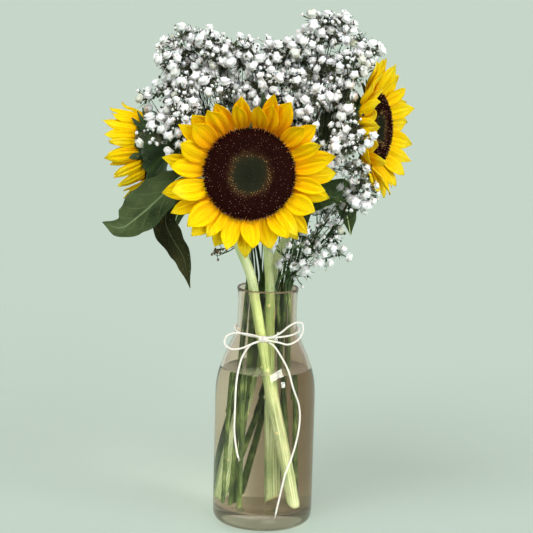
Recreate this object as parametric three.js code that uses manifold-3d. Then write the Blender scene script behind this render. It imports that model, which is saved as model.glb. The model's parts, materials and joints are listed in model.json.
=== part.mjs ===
// Three sunflowers and sprays of baby's breath in a glass bottle vase with water, tied with a twine bow.
// Millimetres, +Z up. The origin is the middle of the vase's flat foot, and the front of the bunch faces -Y.
import * as THREE from 'three';
import { mergeVertices } from 'three/addons/utils/BufferGeometryUtils.js';
import Module from 'manifold-3d';

const wasm = await Module();
wasm.setup();

// Driving dimensions of the vase, the water and the twine
const VASE_HEIGHT = 220;
const WALL = 3;
const FLOOR = 14;
const WATER_LEVEL = 144;
const FOOT_RADIUS = 38;
const RIM_HEIGHT = 5;
const TWINE_RADIUS = 0.9;
const TWINE_HEIGHT = 181;
const CLEARANCE = 0.35;
const VASE_SIDES = 26;

// Driving dimensions of the flowers
const STEM_RADIUS = 4.3;
const STEM_FOOT_RADIUS = 5.3;
const SPRAY_STEM_RADIUS = 1.5;
const SPRAY_FOOT_RADIUS = 2.1;
const CUP_DEPTH = 26;
const FLORET_RADIUS = 6.6;
const STEM_FOOT = 17;
const SPRAY_FOOT = 19;
const NECK_POINT = 214;

const COLOURS = {
  glass: { color: 0xdcd8cf, roughness: 0.03, metalness: 0 },
  water: { color: 0xcfd6d2, roughness: 0.02, metalness: 0 },
  twine: { color: 0xe9e2d6, roughness: 0.9, metalness: 0 },
  stem: { color: 0x8ba34f, roughness: 0.6, metalness: 0 },
  leaf: { color: 0x3f5f35, roughness: 0.6, metalness: 0 },
  ray: { color: 0xf7c406, roughness: 0.55, metalness: 0 },
  disc: { color: 0x2b0f0c, roughness: 0.85, metalness: 0 },
  spray: { color: 0xe8ecea, roughness: 0.8, metalness: 0 },
};

const vector = (x, y, z) => new THREE.Vector3(x, y, z);
const mix = THREE.MathUtils.lerp;
const radians = THREE.MathUtils.degToRad;

// A repeatable number from 0 to 1 for each pair of whole numbers
function chance(i, k) {
  const wave = Math.sin(i * 12.9898 + k * 78.233) * 43758.5453;
  return wave - Math.floor(wave);
}

const spread = (i, k, amount) => (2 * chance(i, k) - 1) * amount;

// Closed geometry to solid, and back
function solid(geometry) {
  const bare = geometry.clone();
  bare.deleteAttribute('normal');
  bare.deleteAttribute('uv');
  const merged = mergeVertices(bare, 1e-4);
  const triVerts = [];
  for (let i = 0; i < merged.index.count; i += 3) {
    const [a, b, c] = merged.index.array.slice(i, i + 3);
    if (a !== b && b !== c && c !== a) triVerts.push(a, b, c);
  }
  return new wasm.Manifold(
    new wasm.Mesh({
      numProp: 3,
      vertProperties: merged.attributes.position.array,
      triVerts: new Uint32Array(triVerts),
    }),
  );
}

function geometryOf(body) {
  const mesh = body.getMesh();
  const geometry = new THREE.BufferGeometry();
  geometry.setAttribute('position', new THREE.BufferAttribute(mesh.vertProperties, 3));
  geometry.setIndex(new THREE.BufferAttribute(mesh.triVerts, 1));
  geometry.computeVertexNormals();
  return geometry;
}

const joined = (bodies) => wasm.Manifold.union(bodies);

// A turned form about Z, from [radius, height] pairs
function turned(profile, segments) {
  const points = profile.map(([radius, height]) => new THREE.Vector2(radius, height));
  return new THREE.LatheGeometry(points, segments).rotateX(Math.PI / 2);
}

// A round rod along a list of points: a cylinder whose rows are carried along it without twisting
function rod(points, sides, radiusAt) {
  const last = points.length - 1;
  const tangents = points.map((p, i) =>
    points[Math.min(i + 1, last)].clone().sub(points[Math.max(i - 1, 0)]).normalize());
  const side = vector(0, 1, 0).cross(tangents[0]).normalize();
  const sidesOf = tangents.map((tangent) => {
    side.addScaledVector(tangent, -side.dot(tangent)).normalize();
    return side.clone();
  });
  const geometry = new THREE.CylinderGeometry(1, 1, last, sides, last);
  const position = geometry.attributes.position;
  for (let n = 0; n < position.count; n++) {
    const row = Math.round(position.getY(n) + last / 2);
    const radius = radiusAt(row, row / last);
    const across = sidesOf[row].clone().cross(tangents[row]);
    const p = points[row].clone()
      .addScaledVector(sidesOf[row], position.getX(n) * radius)
      .addScaledVector(across, position.getZ(n) * radius);
    position.setXYZ(n, p.x, p.y, p.z);
  }
  return geometry;
}

const smooth = (points, steps) => new THREE.CatmullRomCurve3(points).getPoints(steps);

// A thin blade with sharp edges. place(u, row, face) gives the point at u across (-1 to 1) in a row from the root,
// on the upper face (1), the lower face (-1) or the edge (0). Both faces are split into the same triangles.
function blade(rows, columns, place) {
  const positions = [];
  const index = [];
  const known = new Map();
  const corner = (i, j, face) => {
    const edge = j === 0 || j === columns;
    const key = i === rows ? 'tip' : `${i} ${j} ${edge ? 0 : face}`;
    if (!known.has(key)) {
      known.set(key, positions.length / 3);
      const across = i === rows ? 0 : (2 * j) / columns - 1;
      positions.push(...place(across, i, edge || i === rows ? 0 : face).toArray());
    }
    return known.get(key);
  };
  const triangle = (a, b, c) => {
    if (a !== b && b !== c && c !== a) index.push(a, b, c);
  };
  for (let i = 0; i < rows; i++) {
    for (let j = 0; j < columns; j++) {
      const ring = (face) => [
        corner(i, j, face), corner(i, j + 1, face), corner(i + 1, j + 1, face), corner(i + 1, j, face)];
      const [a, b, c, d] = ring(1);
      triangle(a, b, c);
      triangle(a, c, d);
      const [e, f, g, h] = ring(-1);
      triangle(e, g, f);
      triangle(e, h, g);
    }
  }
  for (let j = 0; j < columns; j++) {
    triangle(corner(0, j + 1, 1), corner(0, j, 1), corner(0, j, -1));
    triangle(corner(0, j + 1, 1), corner(0, j, -1), corner(0, j + 1, -1));
  }
  const geometry = new THREE.BufferGeometry();
  geometry.setAttribute('position', new THREE.Float32BufferAttribute(positions, 3));
  geometry.setIndex(index);
  return geometry;
}

const bunch = new THREE.Group();

function add(name, colour, geometry) {
  const mesh = new THREE.Mesh(geometry, new THREE.MeshStandardMaterial(COLOURS[colour]));
  mesh.name = name;
  bunch.add(mesh);
}

// The bottle: outside from the heel to the rim, then the inside back down to the thick floor
const HEEL = [[FOOT_RADIUS, 0], [43.4, 2.4], [46, 10]];
const SHOULDER = [
  [46, 122], [44.8, 136], [41, 150], [36.2, 161.5], [31, 172], [28, 179.5], [27, 188]];
const NECK_RADIUS = SHOULDER.at(-1)[0];
const RIM = [
  [NECK_RADIUS, VASE_HEIGHT - RIM_HEIGHT], [NECK_RADIUS + 1.4, VASE_HEIGHT - 0.8], [NECK_RADIUS + 0.6, VASE_HEIGHT]];
const outside = [...HEEL, ...SHOULDER, ...RIM];
const insideShoulder = SHOULDER.filter((_, i) => i % 2 === 0)
  .map(([radius, height]) => [radius - WALL, height - 1.2]);
const inside = [
  [NECK_RADIUS - WALL + 1.6, VASE_HEIGHT - 0.8], [NECK_RADIUS - WALL, VASE_HEIGHT - RIM_HEIGHT],
  ...insideShoulder.reverse(), [43, FLOOR + 10], [40, FLOOR + 3], [35, FLOOR]];

function radiusAtHeight(profile, height) {
  const upper = profile.findIndex(([, z]) => z > height);
  const [r0, z0] = profile[upper - 1];
  const [r1, z1] = profile[upper];
  return mix(r0, r1, (height - z0) / (z1 - z0));
}

add('vase', 'glass', turned([[0, 0], ...outside, ...inside, [0, FLOOR]], VASE_SIDES));

// The bow: collar, knot and two loops in one piece, then the two free tails that lie on the glass
const KNOT = vector(-3, -31.6, 177.5);
const COLLAR_TILT = 4;

function onGlass(across, height) {
  const radius = radiusAtHeight(outside, height) + TWINE_RADIUS + CLEARANCE;
  return vector(across, -Math.sqrt(radius * radius - across * across), height);
}

const LEFT_LOOP = [
  [0, 0, 0.6], [-8, 1.2, 3], [-17, 2.6, 4.2], [-26, 3.4, 4.4], [-32, 3.6, 2.2], [-35, 3.2, -2.2], [-34, 1.8, -6.8],
  [-28.5, 0.2, -9.6], [-20, -1.6, -8.5], [-11.5, -1.6, -4.6], [0, 0, -0.6]];
const RIGHT_LOOP = [
  [0, 0, -0.6], [6, -1.2, -1], [14, -1.2, -2.3], [21.6, 0, -4.2], [27.8, 1.4, -2.3], [33.2, 2.8, 2.3],
  [35.2, 3.6, 9.3], [34, 4, 14.7], [29.3, 3.4, 15.4], [23, 2.6, 12.3], [15.4, 1.4, 6.2], [9, 0.6, 2.6], [0, 0, 0.6]];
const LEFT_TAIL = [
  [-5.4, -2.6], [-10.8, -5.4], [-17.7, -14.7], [-21.6, -27], [-23.5, -42.4], [-24, -65.6], [-24, -84], [-21.6, -101],
  [-19.7, -108]];
const RIGHT_TAIL = [
  [4.8, -2.8], [9.3, -5.6], [16.2, -14.7], [23, -27], [27.8, -42.4], [33.2, -57.9], [34.7, -70.2], [33.2, -87],
  [28.5, -105.7], [23, -121], [19.3, -138], [15, -159]];

function bow() {
  const collarRadius = radiusAtHeight(outside, TWINE_HEIGHT) + TWINE_RADIUS + 3 * CLEARANCE;
  const collar = new THREE.TorusGeometry(collarRadius, TWINE_RADIUS, 5, 22)
    .rotateX(radians(COLLAR_TILT)).translate(0, 0, TWINE_HEIGHT);
  const knot = new THREE.SphereGeometry(2.8, 8, 5).scale(1.15, 0.9, 0.9).translate(...KNOT.toArray());
  const loop = (steps, points) =>
    rod(smooth(points.map(([x, y, z]) => vector(x, y, z).add(KNOT)), steps), 5, () => TWINE_RADIUS);
  return joined([collar, knot, loop(14, LEFT_LOOP), loop(17, RIGHT_LOOP)].map(solid));
}

function tail(points) {
  const route = points.map(([across, drop]) => onGlass(KNOT.x + across, KNOT.z + drop));
  const path = new THREE.CatmullRomCurve3(route);
  const section = new THREE.Shape();
  section.absarc(0, 0, TWINE_RADIUS, 0, 2 * Math.PI);
  const steps = Math.round(path.getLength() / (8 * TWINE_RADIUS));
  return new THREE.ExtrudeGeometry(section, { steps, curveSegments: 4, bevelEnabled: false, extrudePath: path });
}

add('twine_bow', 'twine', geometryOf(bow()));
add('twine_tail_left', 'twine', tail(LEFT_TAIL));
add('twine_tail_right', 'twine', tail(RIGHT_TAIL));

// Flower heads. In a head's own frame +Z is the way it faces and the origin is under the seed disc.
// foot, neck and over are the stem's cut end, its place in the bottle's neck and its course above it.
// forward is how far the petals stand up from the disc's plane, in degrees, outer row first.
const HEADS = [
  {
    name: 'front', seed: 1, discRadius: 38, petals: 16, petalLength: 33.5, petalWidth: 8.8, forward: [6, 22],
    curl: -14, lean: 34, leanTo: 90, bracts: 10, bractAngle: -20,
    centre: vector(-19, -66, 330), faces: vector(0.03, -0.985, 0.17),
    foot: vector(7, 5, STEM_FOOT), neck: vector(2, -3, NECK_POINT),
    over: [vector(1, -4, 232), vector(-3, -8, 272), vector(-12, -17, 312)],
  },
  {
    name: 'right', seed: 2, discRadius: 31, petals: 13, petalLength: 29.5, petalWidth: 8.4, forward: [22, 38],
    curl: -12, lean: 34, leanTo: 180, bracts: 10, bractAngle: -6,
    centre: vector(93, 0, 367), faces: vector(0.9, -0.42, 0.06),
    foot: vector(-29, 11, STEM_FOOT), neck: vector(4, 9, NECK_POINT),
    over: [vector(5, 10, 236), vector(15, 14, 262), vector(33, 19, 298), vector(50, 19, 340)],
  },
  {
    name: 'left', seed: 3, discRadius: 28, petals: 12, petalLength: 27, petalWidth: 7.4, forward: [56, 70],
    curl: -6, lean: 0, leanTo: 0, bracts: 14, bractAngle: 26,
    centre: vector(-114, 12, 339), faces: vector(-0.93, 0.27, -0.22),
    foot: vector(25, -14, STEM_FOOT), neck: vector(-12, -11, NECK_POINT),
    over: [vector(-16, -11, 232), vector(-29, -9, 262), vector(-47, -6, 298), vector(-64, -2, 325), vector(-77, 1, 340)],
  },
];

function headFrame(head) {
  const face = head.faces.clone().normalize();
  const right = vector(0, 0, 1).cross(face).normalize();
  return new THREE.Matrix4().makeBasis(right, face.clone().cross(right), face).setPosition(head.centre);
}

// The stem runs straight from its foot to the neck, then bends up to the back of its head
function stemLine(head) {
  const back = vector(0, 0, -CUP_DEPTH).applyMatrix4(headFrame(head));
  const middle = vector(0, 0, -CUP_DEPTH + 10).applyMatrix4(headFrame(head));
  return [head.foot, ...smooth([head.neck, ...head.over, back, middle], 13)];
}

const stemRadius = (row) => (row === 0 ? STEM_FOOT_RADIUS : STEM_RADIUS);

// Receptacle: a shallow green cup that carries the petals, the disc and the bracts
function cup(head) {
  const R = head.discRadius;
  return turned([
    [0, -CUP_DEPTH], [STEM_RADIUS + 0.6, -CUP_DEPTH], [STEM_RADIUS + 4, -CUP_DEPTH + 5], [R * 0.55, -16],
    [R - 4, -11], [R + 1.2, -6.4], [R + 0.6, -4.8], [0, -4.8]], 16);
}

function bract(head, i) {
  const R = head.discRadius;
  const row = i % 2;
  const angle = (2 * Math.PI * (i + spread(i, 31, 0.3))) / head.bracts;
  const tilt = radians(head.bractAngle - 14 * row + spread(i, 32, 7));
  const length = 21 - 4 * row + spread(i, 33, 2.5);
  const radial = vector(Math.cos(angle), Math.sin(angle), 0);
  const across = vector(Math.sin(angle), -Math.cos(angle), 0);
  const widths = [4.6, 4.2, 0];
  return blade(2, 2, (u, station, face) => {
    const along = (length * station) / 2;
    return radial.clone().multiplyScalar(R - 6 + along * Math.cos(tilt)).addScaledVector(across, widths[station] * u)
      .setZ(-9.2 - 1.6 * row + along * Math.sin(tilt) + 0.7 * face - 0.6 * u * u);
  });
}

// A petal runs level from its root in the yellow band to just past the disc's edge, and bends up from there
function petal(head, i, row) {
  const R = head.discRadius;
  const key = head.seed * 100 + row * 40 + i;
  const angle = (2 * Math.PI * (i + 0.5 * row + spread(key, 1, 0.12))) / head.petals;
  const lean = head.lean * Math.max(0, Math.cos(angle - radians(head.leanTo)));
  const start = radians(head.forward[row] + lean + spread(key, 2, 4));
  const end = start + radians(head.curl + spread(key, 3, 7));
  const length = head.petalLength * (1.04 - 0.1 * row) + spread(key, 4, 3);
  const half = head.petalWidth * (1 + spread(key, 5, 0.12));
  const twist = spread(key, 6, 0.2);
  const radial = vector(Math.cos(angle), Math.sin(angle), 0);
  const across = vector(Math.sin(angle), -Math.cos(angle), 0);
  const widths = [0.24, 0.6, 1, 0.78, 0];
  const thickness = [0.45, 0.5, 0.7, 0.6, 0];
  const reach = [R - 5, R + 2.5];
  const rise = [0, 0];
  [0, 0.5, 1].forEach((share, k) => {
    const bend = mix(start, end, share);
    reach.push(reach[k + 1] + (length / 3) * Math.cos(bend));
    rise.push(rise[k + 1] + (length / 3) * Math.sin(bend));
  });
  return blade(4, 2, (u, station, face) => {
    const width = widths[station] * half * u;
    const bend = station < 2 ? 0 : mix(start, end, (station - 2) / 2);
    const lift = 1.4 * u * u * Math.sin((Math.PI * station) / 4) + (twist * width * station) / 4;
    const over = lift + thickness[station] * face;
    return radial.clone().multiplyScalar(reach[station] - over * Math.sin(bend))
      .addScaledVector(across, width)
      .setZ(-3.6 + 1.3 * row + rise[station] + over * Math.cos(bend));
  });
}

function rays(head) {
  const R = head.discRadius;
  const band = turned([[R - 9, -4.4], [R + 0.8, -4.4], [R + 0.8, -1.3], [R - 9, -1.3], [R - 9, -4.4]], 14);
  const petals = [0, 1].flatMap((row) =>
    Array.from({ length: head.petals }, (_, i) => solid(petal(head, i, row))));
  return joined([solid(band), ...petals]);
}

// Seed disc: a low dome with a sunken middle, its skin raised and sunk in turn like the packed florets
function disc(head) {
  const R = head.discRadius;
  const plug = R - 9.8;
  const dome = [[R + 0.6, 1], [R - 3.5, 4.6], [R * 0.74, 6.4], [R * 0.56, 6.6], [R * 0.38, 5], [R * 0.2, 4.2]];
  const segments = 20;
  const geometry = turned([[0, -4.4], [plug, -4.4], [plug, -0.9], [R - 0.4, -0.9], ...dome, [0, 4.4]], segments);
  const rows = dome.length + 5;
  const position = geometry.attributes.position;
  for (let n = 0; n < position.count; n++) {
    const row = (n % rows) - 4;
    const column = Math.floor(n / rows) % segments;
    if (row >= 0 && row < dome.length) {
      const raised = (row + column) % 2 ? 0.55 : -0.55;
      position.setZ(n, position.getZ(n) + raised);
    }
  }
  return geometry;
}

const stems = [];
for (const head of HEADS) {
  const frame = headFrame(head);
  const line = stemLine(head);
  const bracts = Array.from({ length: head.bracts }, (_, i) => solid(bract(head, i).applyMatrix4(frame)));
  const stalk = rod(line, 8, stemRadius);
  add(`sunflower_${head.name}_stem`, 'stem',
    geometryOf(joined([solid(stalk), solid(cup(head).applyMatrix4(frame)), ...bracts])));
  add(`sunflower_${head.name}_petals`, 'ray', geometryOf(rays(head)).applyMatrix4(frame));
  add(`sunflower_${head.name}_disc`, 'disc', disc(head).applyMatrix4(frame));
  stems.push({ points: [line[0], line[1]], sides: 8, radii: [STEM_FOOT_RADIUS, STEM_RADIUS] });
}

// Leaves. The midrib starts at the stem's skin; faces is the way the upper side looks, half is the half width.
const LEAVES = [
  {
    name: 'left_large', stem: 'left', half: 20, faces: vector(-0.25, -0.85, 0.46), seed: 11,
    midrib: [[-60, -8, 316], [-80, -23, 321], [-96, -30, 305], [-118, -36, 285], [-132, -38, 276], [-148, -38, 281]],
  },
  {
    name: 'left_hanging', stem: 'left', half: 13, faces: vector(-0.5, -0.84, 0.1), seed: 12,
    midrib: [[-43, -10, 286], [-66, -16, 303], [-88, -19, 298], [-93, -20, 280], [-86, -21, 264], [-77, -22, 250],
      [-73, -24, 236], [-70, -24, 221]],
  },
  {
    name: 'left_small', stem: 'left', half: 12, faces: vector(-0.1, -0.9, 0.4), seed: 13,
    midrib: [[-70, -4, 331], [-74, -14, 344], [-84, -23, 346], [-95, -28, 334]],
  },
  {
    name: 'right_low', stem: 'front', half: 17, faces: vector(0.1, -0.8, 0.6), seed: 14,
    midrib: [[0, -12, 276], [18, -24, 295], [36, -30, 305], [52, -33, 308], [65, -33, 306]],
  },
  {
    name: 'front_upper', stem: 'front', half: 13, faces: vector(0.1, -1, 0.1), seed: 15,
    midrib: [[-11, -17, 298], [-2, -14, 322], [-2, -16, 350], [-6, -22, 376], [-9, -28, 398]],
  },
  {
    name: 'right_upper', stem: 'right', half: 11, faces: vector(-0.2, -0.95, 0.2), seed: 16,
    midrib: [[48, 15, 334], [50, 5, 352], [54, 1, 372], [62, 0, 392], [70, 0, 410]],
  },
  {
    name: 'back_right', stem: 'right', half: 19, faces: vector(0.3, 0.8, 0.5), seed: 17,
    midrib: [[29, 24, 288], [46, 42, 302], [60, 58, 300], [72, 70, 282], [78, 76, 258]],
  },
  {
    name: 'back_left', stem: 'left', half: 18, faces: vector(-0.4, 0.8, 0.45), seed: 18,
    midrib: [[-38, -2, 278], [-56, 16, 296], [-74, 32, 296], [-86, 46, 278], [-92, 52, 254]],
  },
];
const LEAF_SHAPE = [0.1, 0.14, 0.8, 1, 0.8, 0.42, 0];

function leaf(plan) {
  const path = new THREE.CatmullRomCurve3(plan.midrib.map((p) => vector(...p)));
  const rows = LEAF_SHAPE.length - 1;
  return blade(rows, 4, (u, station, face) => {
    const v = station / rows;
    const along = path.getTangent(v);
    const across = along.clone().cross(plan.faces).normalize();
    const upper = across.clone().cross(along);
    const tooth = 1 + 0.08 * Math.cos(Math.PI * station) * Math.abs(u);
    const width = Math.max(LEAF_SHAPE[station] * plan.half * tooth, 1.6);
    const wave = 1.3 * Math.sin(9 * v + plan.seed) * Math.abs(u);
    const trough = 0.3 * width * u * u + wave * Math.min(1, 3 * v);
    const half = mix(1.5, 0.6, Math.min(1, 3.5 * v));
    return path.getPoint(v).addScaledVector(across, width * u).addScaledVector(upper, trough + half * face);
  });
}

for (const plan of LEAVES) {
  const line = stemLine(HEADS.find((head) => head.name === plan.stem));
  const sheath = solid(rod(line, 8, (row, t) => stemRadius(row, t) + CLEARANCE));
  const blades = solid(leaf(plan)).subtract(sheath).decompose();
  blades.sort((a, b) => b.volume() - a.volume());
  add(`leaf_${plan.name}`, 'leaf', geometryOf(blades[0]));
}

// Sprays of baby's breath. A stem rises straight to the neck and on to its crown, an ellipsoid of the given
// middle and half sizes. Arms leave the stem for the crown, with a floret at each fork and at each tip.
const SPRAYS = [
  { name: 'left_top', neck: [-8, 19], foot: [-26, -19], via: [[-22, 24, 290], [-54, 24, 356]], centre: [-83, 18, 418],
    size: [28, 26, 28], florets: 18 },
  { name: 'left', neck: [-20, 4], foot: [-32, -14], via: [[-40, 12, 290], [-64, 18, 334]], centre: [-90, 12, 380],
    size: [27, 26, 24], florets: 19 },
  { name: 'middle_left', neck: [-14, 13], foot: [-19, -27], via: [[-22, 13, 290], [-36, 12, 346]],
    centre: [-48, 4, 417], size: [30, 30, 32], florets: 21 },
  { name: 'middle', neck: [-5, 9], foot: [-20, -8], via: [[-3, 12, 290], [-4, 12, 346]], centre: [0, 4, 418],
    size: [34, 28, 33], florets: 17 },
  { name: 'right_top', neck: [8, 20], foot: [-30, 22], via: [[16, 24, 290], [29, 20, 364]], centre: [42, 12, 436],
    size: [31, 28, 36], florets: 20 },
  { name: 'right', neck: [20, 6], foot: [-22, 22], via: [[36, -4, 290], [50, -12, 346]], centre: [65, -10, 407],
    size: [27, 26, 32], florets: 19 },
  { name: 'right_middle', neck: [20, -2], foot: [22, 4], via: [[28, -10, 276], [36, -14, 320]],
    centre: [52, -14, 346], size: [28, 24, 34], florets: 16 },
  { name: 'right_front', neck: [9, -17], foot: [18, 10], via: [[40, -18, 258], [68, -16, 290]],
    centre: [80, -22, 322], size: [18, 18, 26], florets: 12 },
  { name: 'right_low', neck: [16, -9], foot: [8, 18], via: [[27, -13, 240]], centre: [42, -15, 270],
    size: [32, 20, 32], florets: 19 },
  { name: 'back', neck: [0, 20], foot: [-37, 7], via: [[-4, 38, 290], [-10, 48, 350]], centre: [-16, 52, 384],
    size: [38, 24, 32], florets: 12 },
  { name: 'back_low', neck: [15, 15], foot: [-12, 28], via: [[24, 36, 270], [32, 52, 320]], centre: [36, 58, 362],
    size: [30, 22, 32], florets: 13 },
];
const FLORET_REACH = [0.42, 0.66, 0.82, 0.93, 1];
const FLORET_SPREAD = 0.8;
const TWIG_RADIUS = 0.7;
const ARM_TRIES = 14;
const GOLDEN_ANGLE = 2.39996;

// A thin branch through its florets: each is a bead on it, and the last one ends it
function strand(places) {
  const points = [places[0]];
  const radii = [TWIG_RADIUS];
  const reach = 0.8 * FLORET_RADIUS;
  places.slice(1).forEach((place, k) => {
    const before = places[k].clone().sub(place).setLength(reach);
    const next = places[k + 2];
    const after = (next ? next.clone().sub(place) : before.clone().negate()).setLength(reach);
    points.push(place.clone().add(before), place, place.clone().add(after));
    radii.push(TWIG_RADIUS, FLORET_RADIUS, next ? TWIG_RADIUS : 0);
  });
  return solid(rod(points, 4, (row) => radii[row]));
}

function riseOf(spray) {
  const foot = vector(...spray.foot, SPRAY_FOOT);
  const neck = vector(...spray.neck, NECK_POINT);
  const lead = foot.clone().lerp(neck, 1.07);
  const centre = vector(...spray.centre);
  const top = centre.clone().add(vector(0, 0, spray.size[2] * 0.6));
  return [foot, ...smooth([neck, lead, ...spray.via.map((p) => vector(...p)), centre, top], 6)];
}

// The places that arm k of a spray passes: its root on the stem, then its florets, each further out in the crown
function armPlaces(spray, number, k, line) {
  const key = number * 50 + k;
  const share = (k + 0.5) * 0.618034;
  const level = 0.9 - 1.7 * (share - Math.floor(share));
  const turn = GOLDEN_ANGLE * k + number;
  const flat = Math.sqrt(1 - level * level);
  const way = vector(Math.cos(turn) * flat, Math.sin(turn) * flat, level);
  const florets = FLORET_REACH.map((far, m) => {
    const aside = vector(spread(key, 10 + m, 1), spread(key, 20 + m, 1), spread(key, 30 + m, 1));
    return aside.multiplyScalar(FLORET_SPREAD).add(way).normalize().multiplyScalar(far)
      .multiply(vector(...spray.size)).add(vector(...spray.centre));
  });
  const height = mix(0.6, 0.9, (level + 0.8) / 1.7) * (line.length - 2) + 1;
  const row = Math.floor(height);
  return [line[row].clone().lerp(line[row + 1], height - row), ...florets];
}

// An arm that would touch what already stands there keeps only its first florets, or is left out
const clearOf = (body, others) => others.every((other) => body.minGap(other, 2 * CLEARANCE) > CLEARANCE);
SPRAYS.forEach((spray, number) => {
  const line = riseOf(spray);
  const others = bunch.children.map((mesh) => solid(mesh.geometry));
  const last = line.length - 1;
  const parts = [solid(rod(line, 4, (row, t) => {
    if (row === 0) return SPRAY_FOOT_RADIUS;
    return row === last ? 0.5 : mix(SPRAY_STEM_RADIUS, 0.8, t);
  }))];
  let florets = 0;
  for (let k = 0; k < ARM_TRIES && florets < spray.florets; k++) {
    const places = armPlaces(spray, number, k, line);
    const counts = FLORET_REACH.map((_, m) => FLORET_REACH.length - m);
    const count = counts.find((n) => clearOf(strand(places.slice(0, n + 1)), others));
    if (!count) continue;
    const arm = strand(places.slice(0, count + 1));
    parts.push(arm);
    others.push(arm);
    florets += count;
  }
  add(`spray_${spray.name}`, 'spray', geometryOf(joined(parts)));
  stems.push({ points: line.slice(0, 2), sides: 4, radii: [SPRAY_FOOT_RADIUS, SPRAY_STEM_RADIUS] });
});

// Water, with a plain hole for each stem
function water() {
  const wall = inside.filter(([, height]) => height < WATER_LEVEL).reverse();
  const profile = wall.map(([radius, height], i) => [radius - CLEARANCE, i ? height : height + CLEARANCE]);
  const edge = radiusAtHeight([...inside].reverse(), WATER_LEVEL) - CLEARANCE;
  const holes = stems.map(({ points: [foot, neck], sides, radii }) => {
    const deeper = foot.clone().lerp(neck, -0.05);
    const margin = CLEARANCE / Math.cos(Math.PI / sides);
    return solid(rod([deeper, foot, neck], sides, (row) => radii[Math.max(0, row - 1)] + margin));
  });
  const body = turned([[0, FLOOR + CLEARANCE], ...profile, [edge, WATER_LEVEL], [0, WATER_LEVEL]], VASE_SIDES);
  return solid(body).subtract(joined(holes));
}

add('water', 'water', geometryOf(water()));

export default bunch;
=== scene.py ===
# Three sunflowers and sprays of baby's breath in a glass bottle vase with water, tied with a twine bow.
# +Z is up, and the middle of the vase's foot is the origin. Sizes and places are in millimetres, and mm() or
# MM makes metres of them. The camera, the lights, the floor and what a material reads are in metres.
import itertools
import math

import bmesh
import bpy
import numpy as np
from mathutils import Matrix, Quaternion, Vector, noise
from mathutils.bvhtree import BVHTree
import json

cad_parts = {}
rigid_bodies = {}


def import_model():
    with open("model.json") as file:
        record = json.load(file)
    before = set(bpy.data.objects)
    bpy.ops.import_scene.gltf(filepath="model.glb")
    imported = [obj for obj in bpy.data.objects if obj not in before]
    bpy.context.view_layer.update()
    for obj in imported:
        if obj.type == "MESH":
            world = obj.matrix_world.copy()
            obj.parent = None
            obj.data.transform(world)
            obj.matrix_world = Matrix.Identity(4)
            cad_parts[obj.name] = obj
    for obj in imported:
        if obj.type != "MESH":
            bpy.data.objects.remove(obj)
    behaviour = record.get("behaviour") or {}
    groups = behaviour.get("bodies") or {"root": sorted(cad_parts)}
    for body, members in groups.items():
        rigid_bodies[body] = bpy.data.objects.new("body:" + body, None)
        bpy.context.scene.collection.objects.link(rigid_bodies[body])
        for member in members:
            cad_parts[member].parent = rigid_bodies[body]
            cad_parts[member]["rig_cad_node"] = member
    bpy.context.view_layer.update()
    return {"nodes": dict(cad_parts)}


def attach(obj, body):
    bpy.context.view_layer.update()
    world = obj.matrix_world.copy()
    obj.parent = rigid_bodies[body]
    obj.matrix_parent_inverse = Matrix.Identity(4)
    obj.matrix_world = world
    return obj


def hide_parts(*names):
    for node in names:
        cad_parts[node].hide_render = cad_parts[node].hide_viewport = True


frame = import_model()

# Camera
# It stands a metre and a half in front of the vase and looks a little down on it, through a long lens.
CAMERA_PLACE = (-0.00954, -1.5, 0.49437)
CAMERA_TURN, CAMERA_DROP, CAMERA_ROLL = 0.00512, 0.16895, 0.02701
SENSOR_WIDTH = 36
FOCAL_LENGTH = 112.99

bpy.ops.object.select_all(action="DESELECT")
bpy.ops.object.camera_add()
camera = bpy.context.object
camera.name = "camera"
camera.data.sensor_width = SENSOR_WIDTH
camera.data.lens = FOCAL_LENGTH
camera.matrix_world = (
    Matrix.Translation(CAMERA_PLACE)
    @ Matrix.Rotation(-CAMERA_TURN, 4, "Z")
    @ Matrix.Rotation(math.pi / 2 - CAMERA_DROP, 4, "X")
    @ Matrix.Rotation(CAMERA_ROLL, 4, "Z")
)
bpy.context.scene.camera = camera

# Twine tails
# Two free ends of a soft three-ply cotton twine, 1.8 mm thick. They leave the knot of the bow and hang down
# the front of the bottle, lying on its glass, and end cut, with a few loose fibres.
MM = 0.001
TWINE_RADIUS = 0.9
CLEARANCE = 0.35
TWIST_PITCH = 5.5
TWINE_SIDES = 12
PLY_GROOVE = 0.16
CUT_TAPER = 0.55
FIBRE_SPLAY = 0.55
FIBRE_LENGTH = 2.2
FIBRE_RADIUS = 0.16
FIBRE_TAPER = 0.1
KNOT = (-3, -31.6, 177.5)
GLASS_OUTSIDE = [
    (38, 0), (43.4, 2.4), (46, 10), (46, 122), (44.8, 136), (41, 150), (36.2, 161.5), (31, 172), (28, 179.5),
    (27, 188), (27, 215)]
LEFT_TAIL = [
    (-5.4, -2.6), (-10.8, -5.4), (-17.7, -14.7), (-21.6, -27), (-23.5, -42.4), (-24, -65.6), (-24, -84),
    (-21.6, -101), (-19.7, -108)]
RIGHT_TAIL = [
    (4.8, -2.8), (9.3, -5.6), (16.2, -14.7), (23, -27), (27.8, -42.4), (33.2, -57.9), (34.7, -70.2),
    (33.2, -87), (28.5, -105.7), (23, -121), (19.3, -138), (15, -159)]


def mm(x, y, z):
    return Vector((x, y, z)) * MM


def chance(i, k):
    """A repeatable number from 0 to 1 for each pair of whole numbers."""
    return math.sin(i * 12.9898 + k * 78.233) * 43758.5453 % 1


def spread(i, k, amount):
    """A repeatable number from -amount to amount."""
    return (2 * chance(i, k) - 1) * amount


def stray(i, k, amount=1):
    """A repeatable vector whose three numbers go from -amount to amount."""
    return Vector([spread(i, k + axis, amount) for axis in range(3)])


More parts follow.
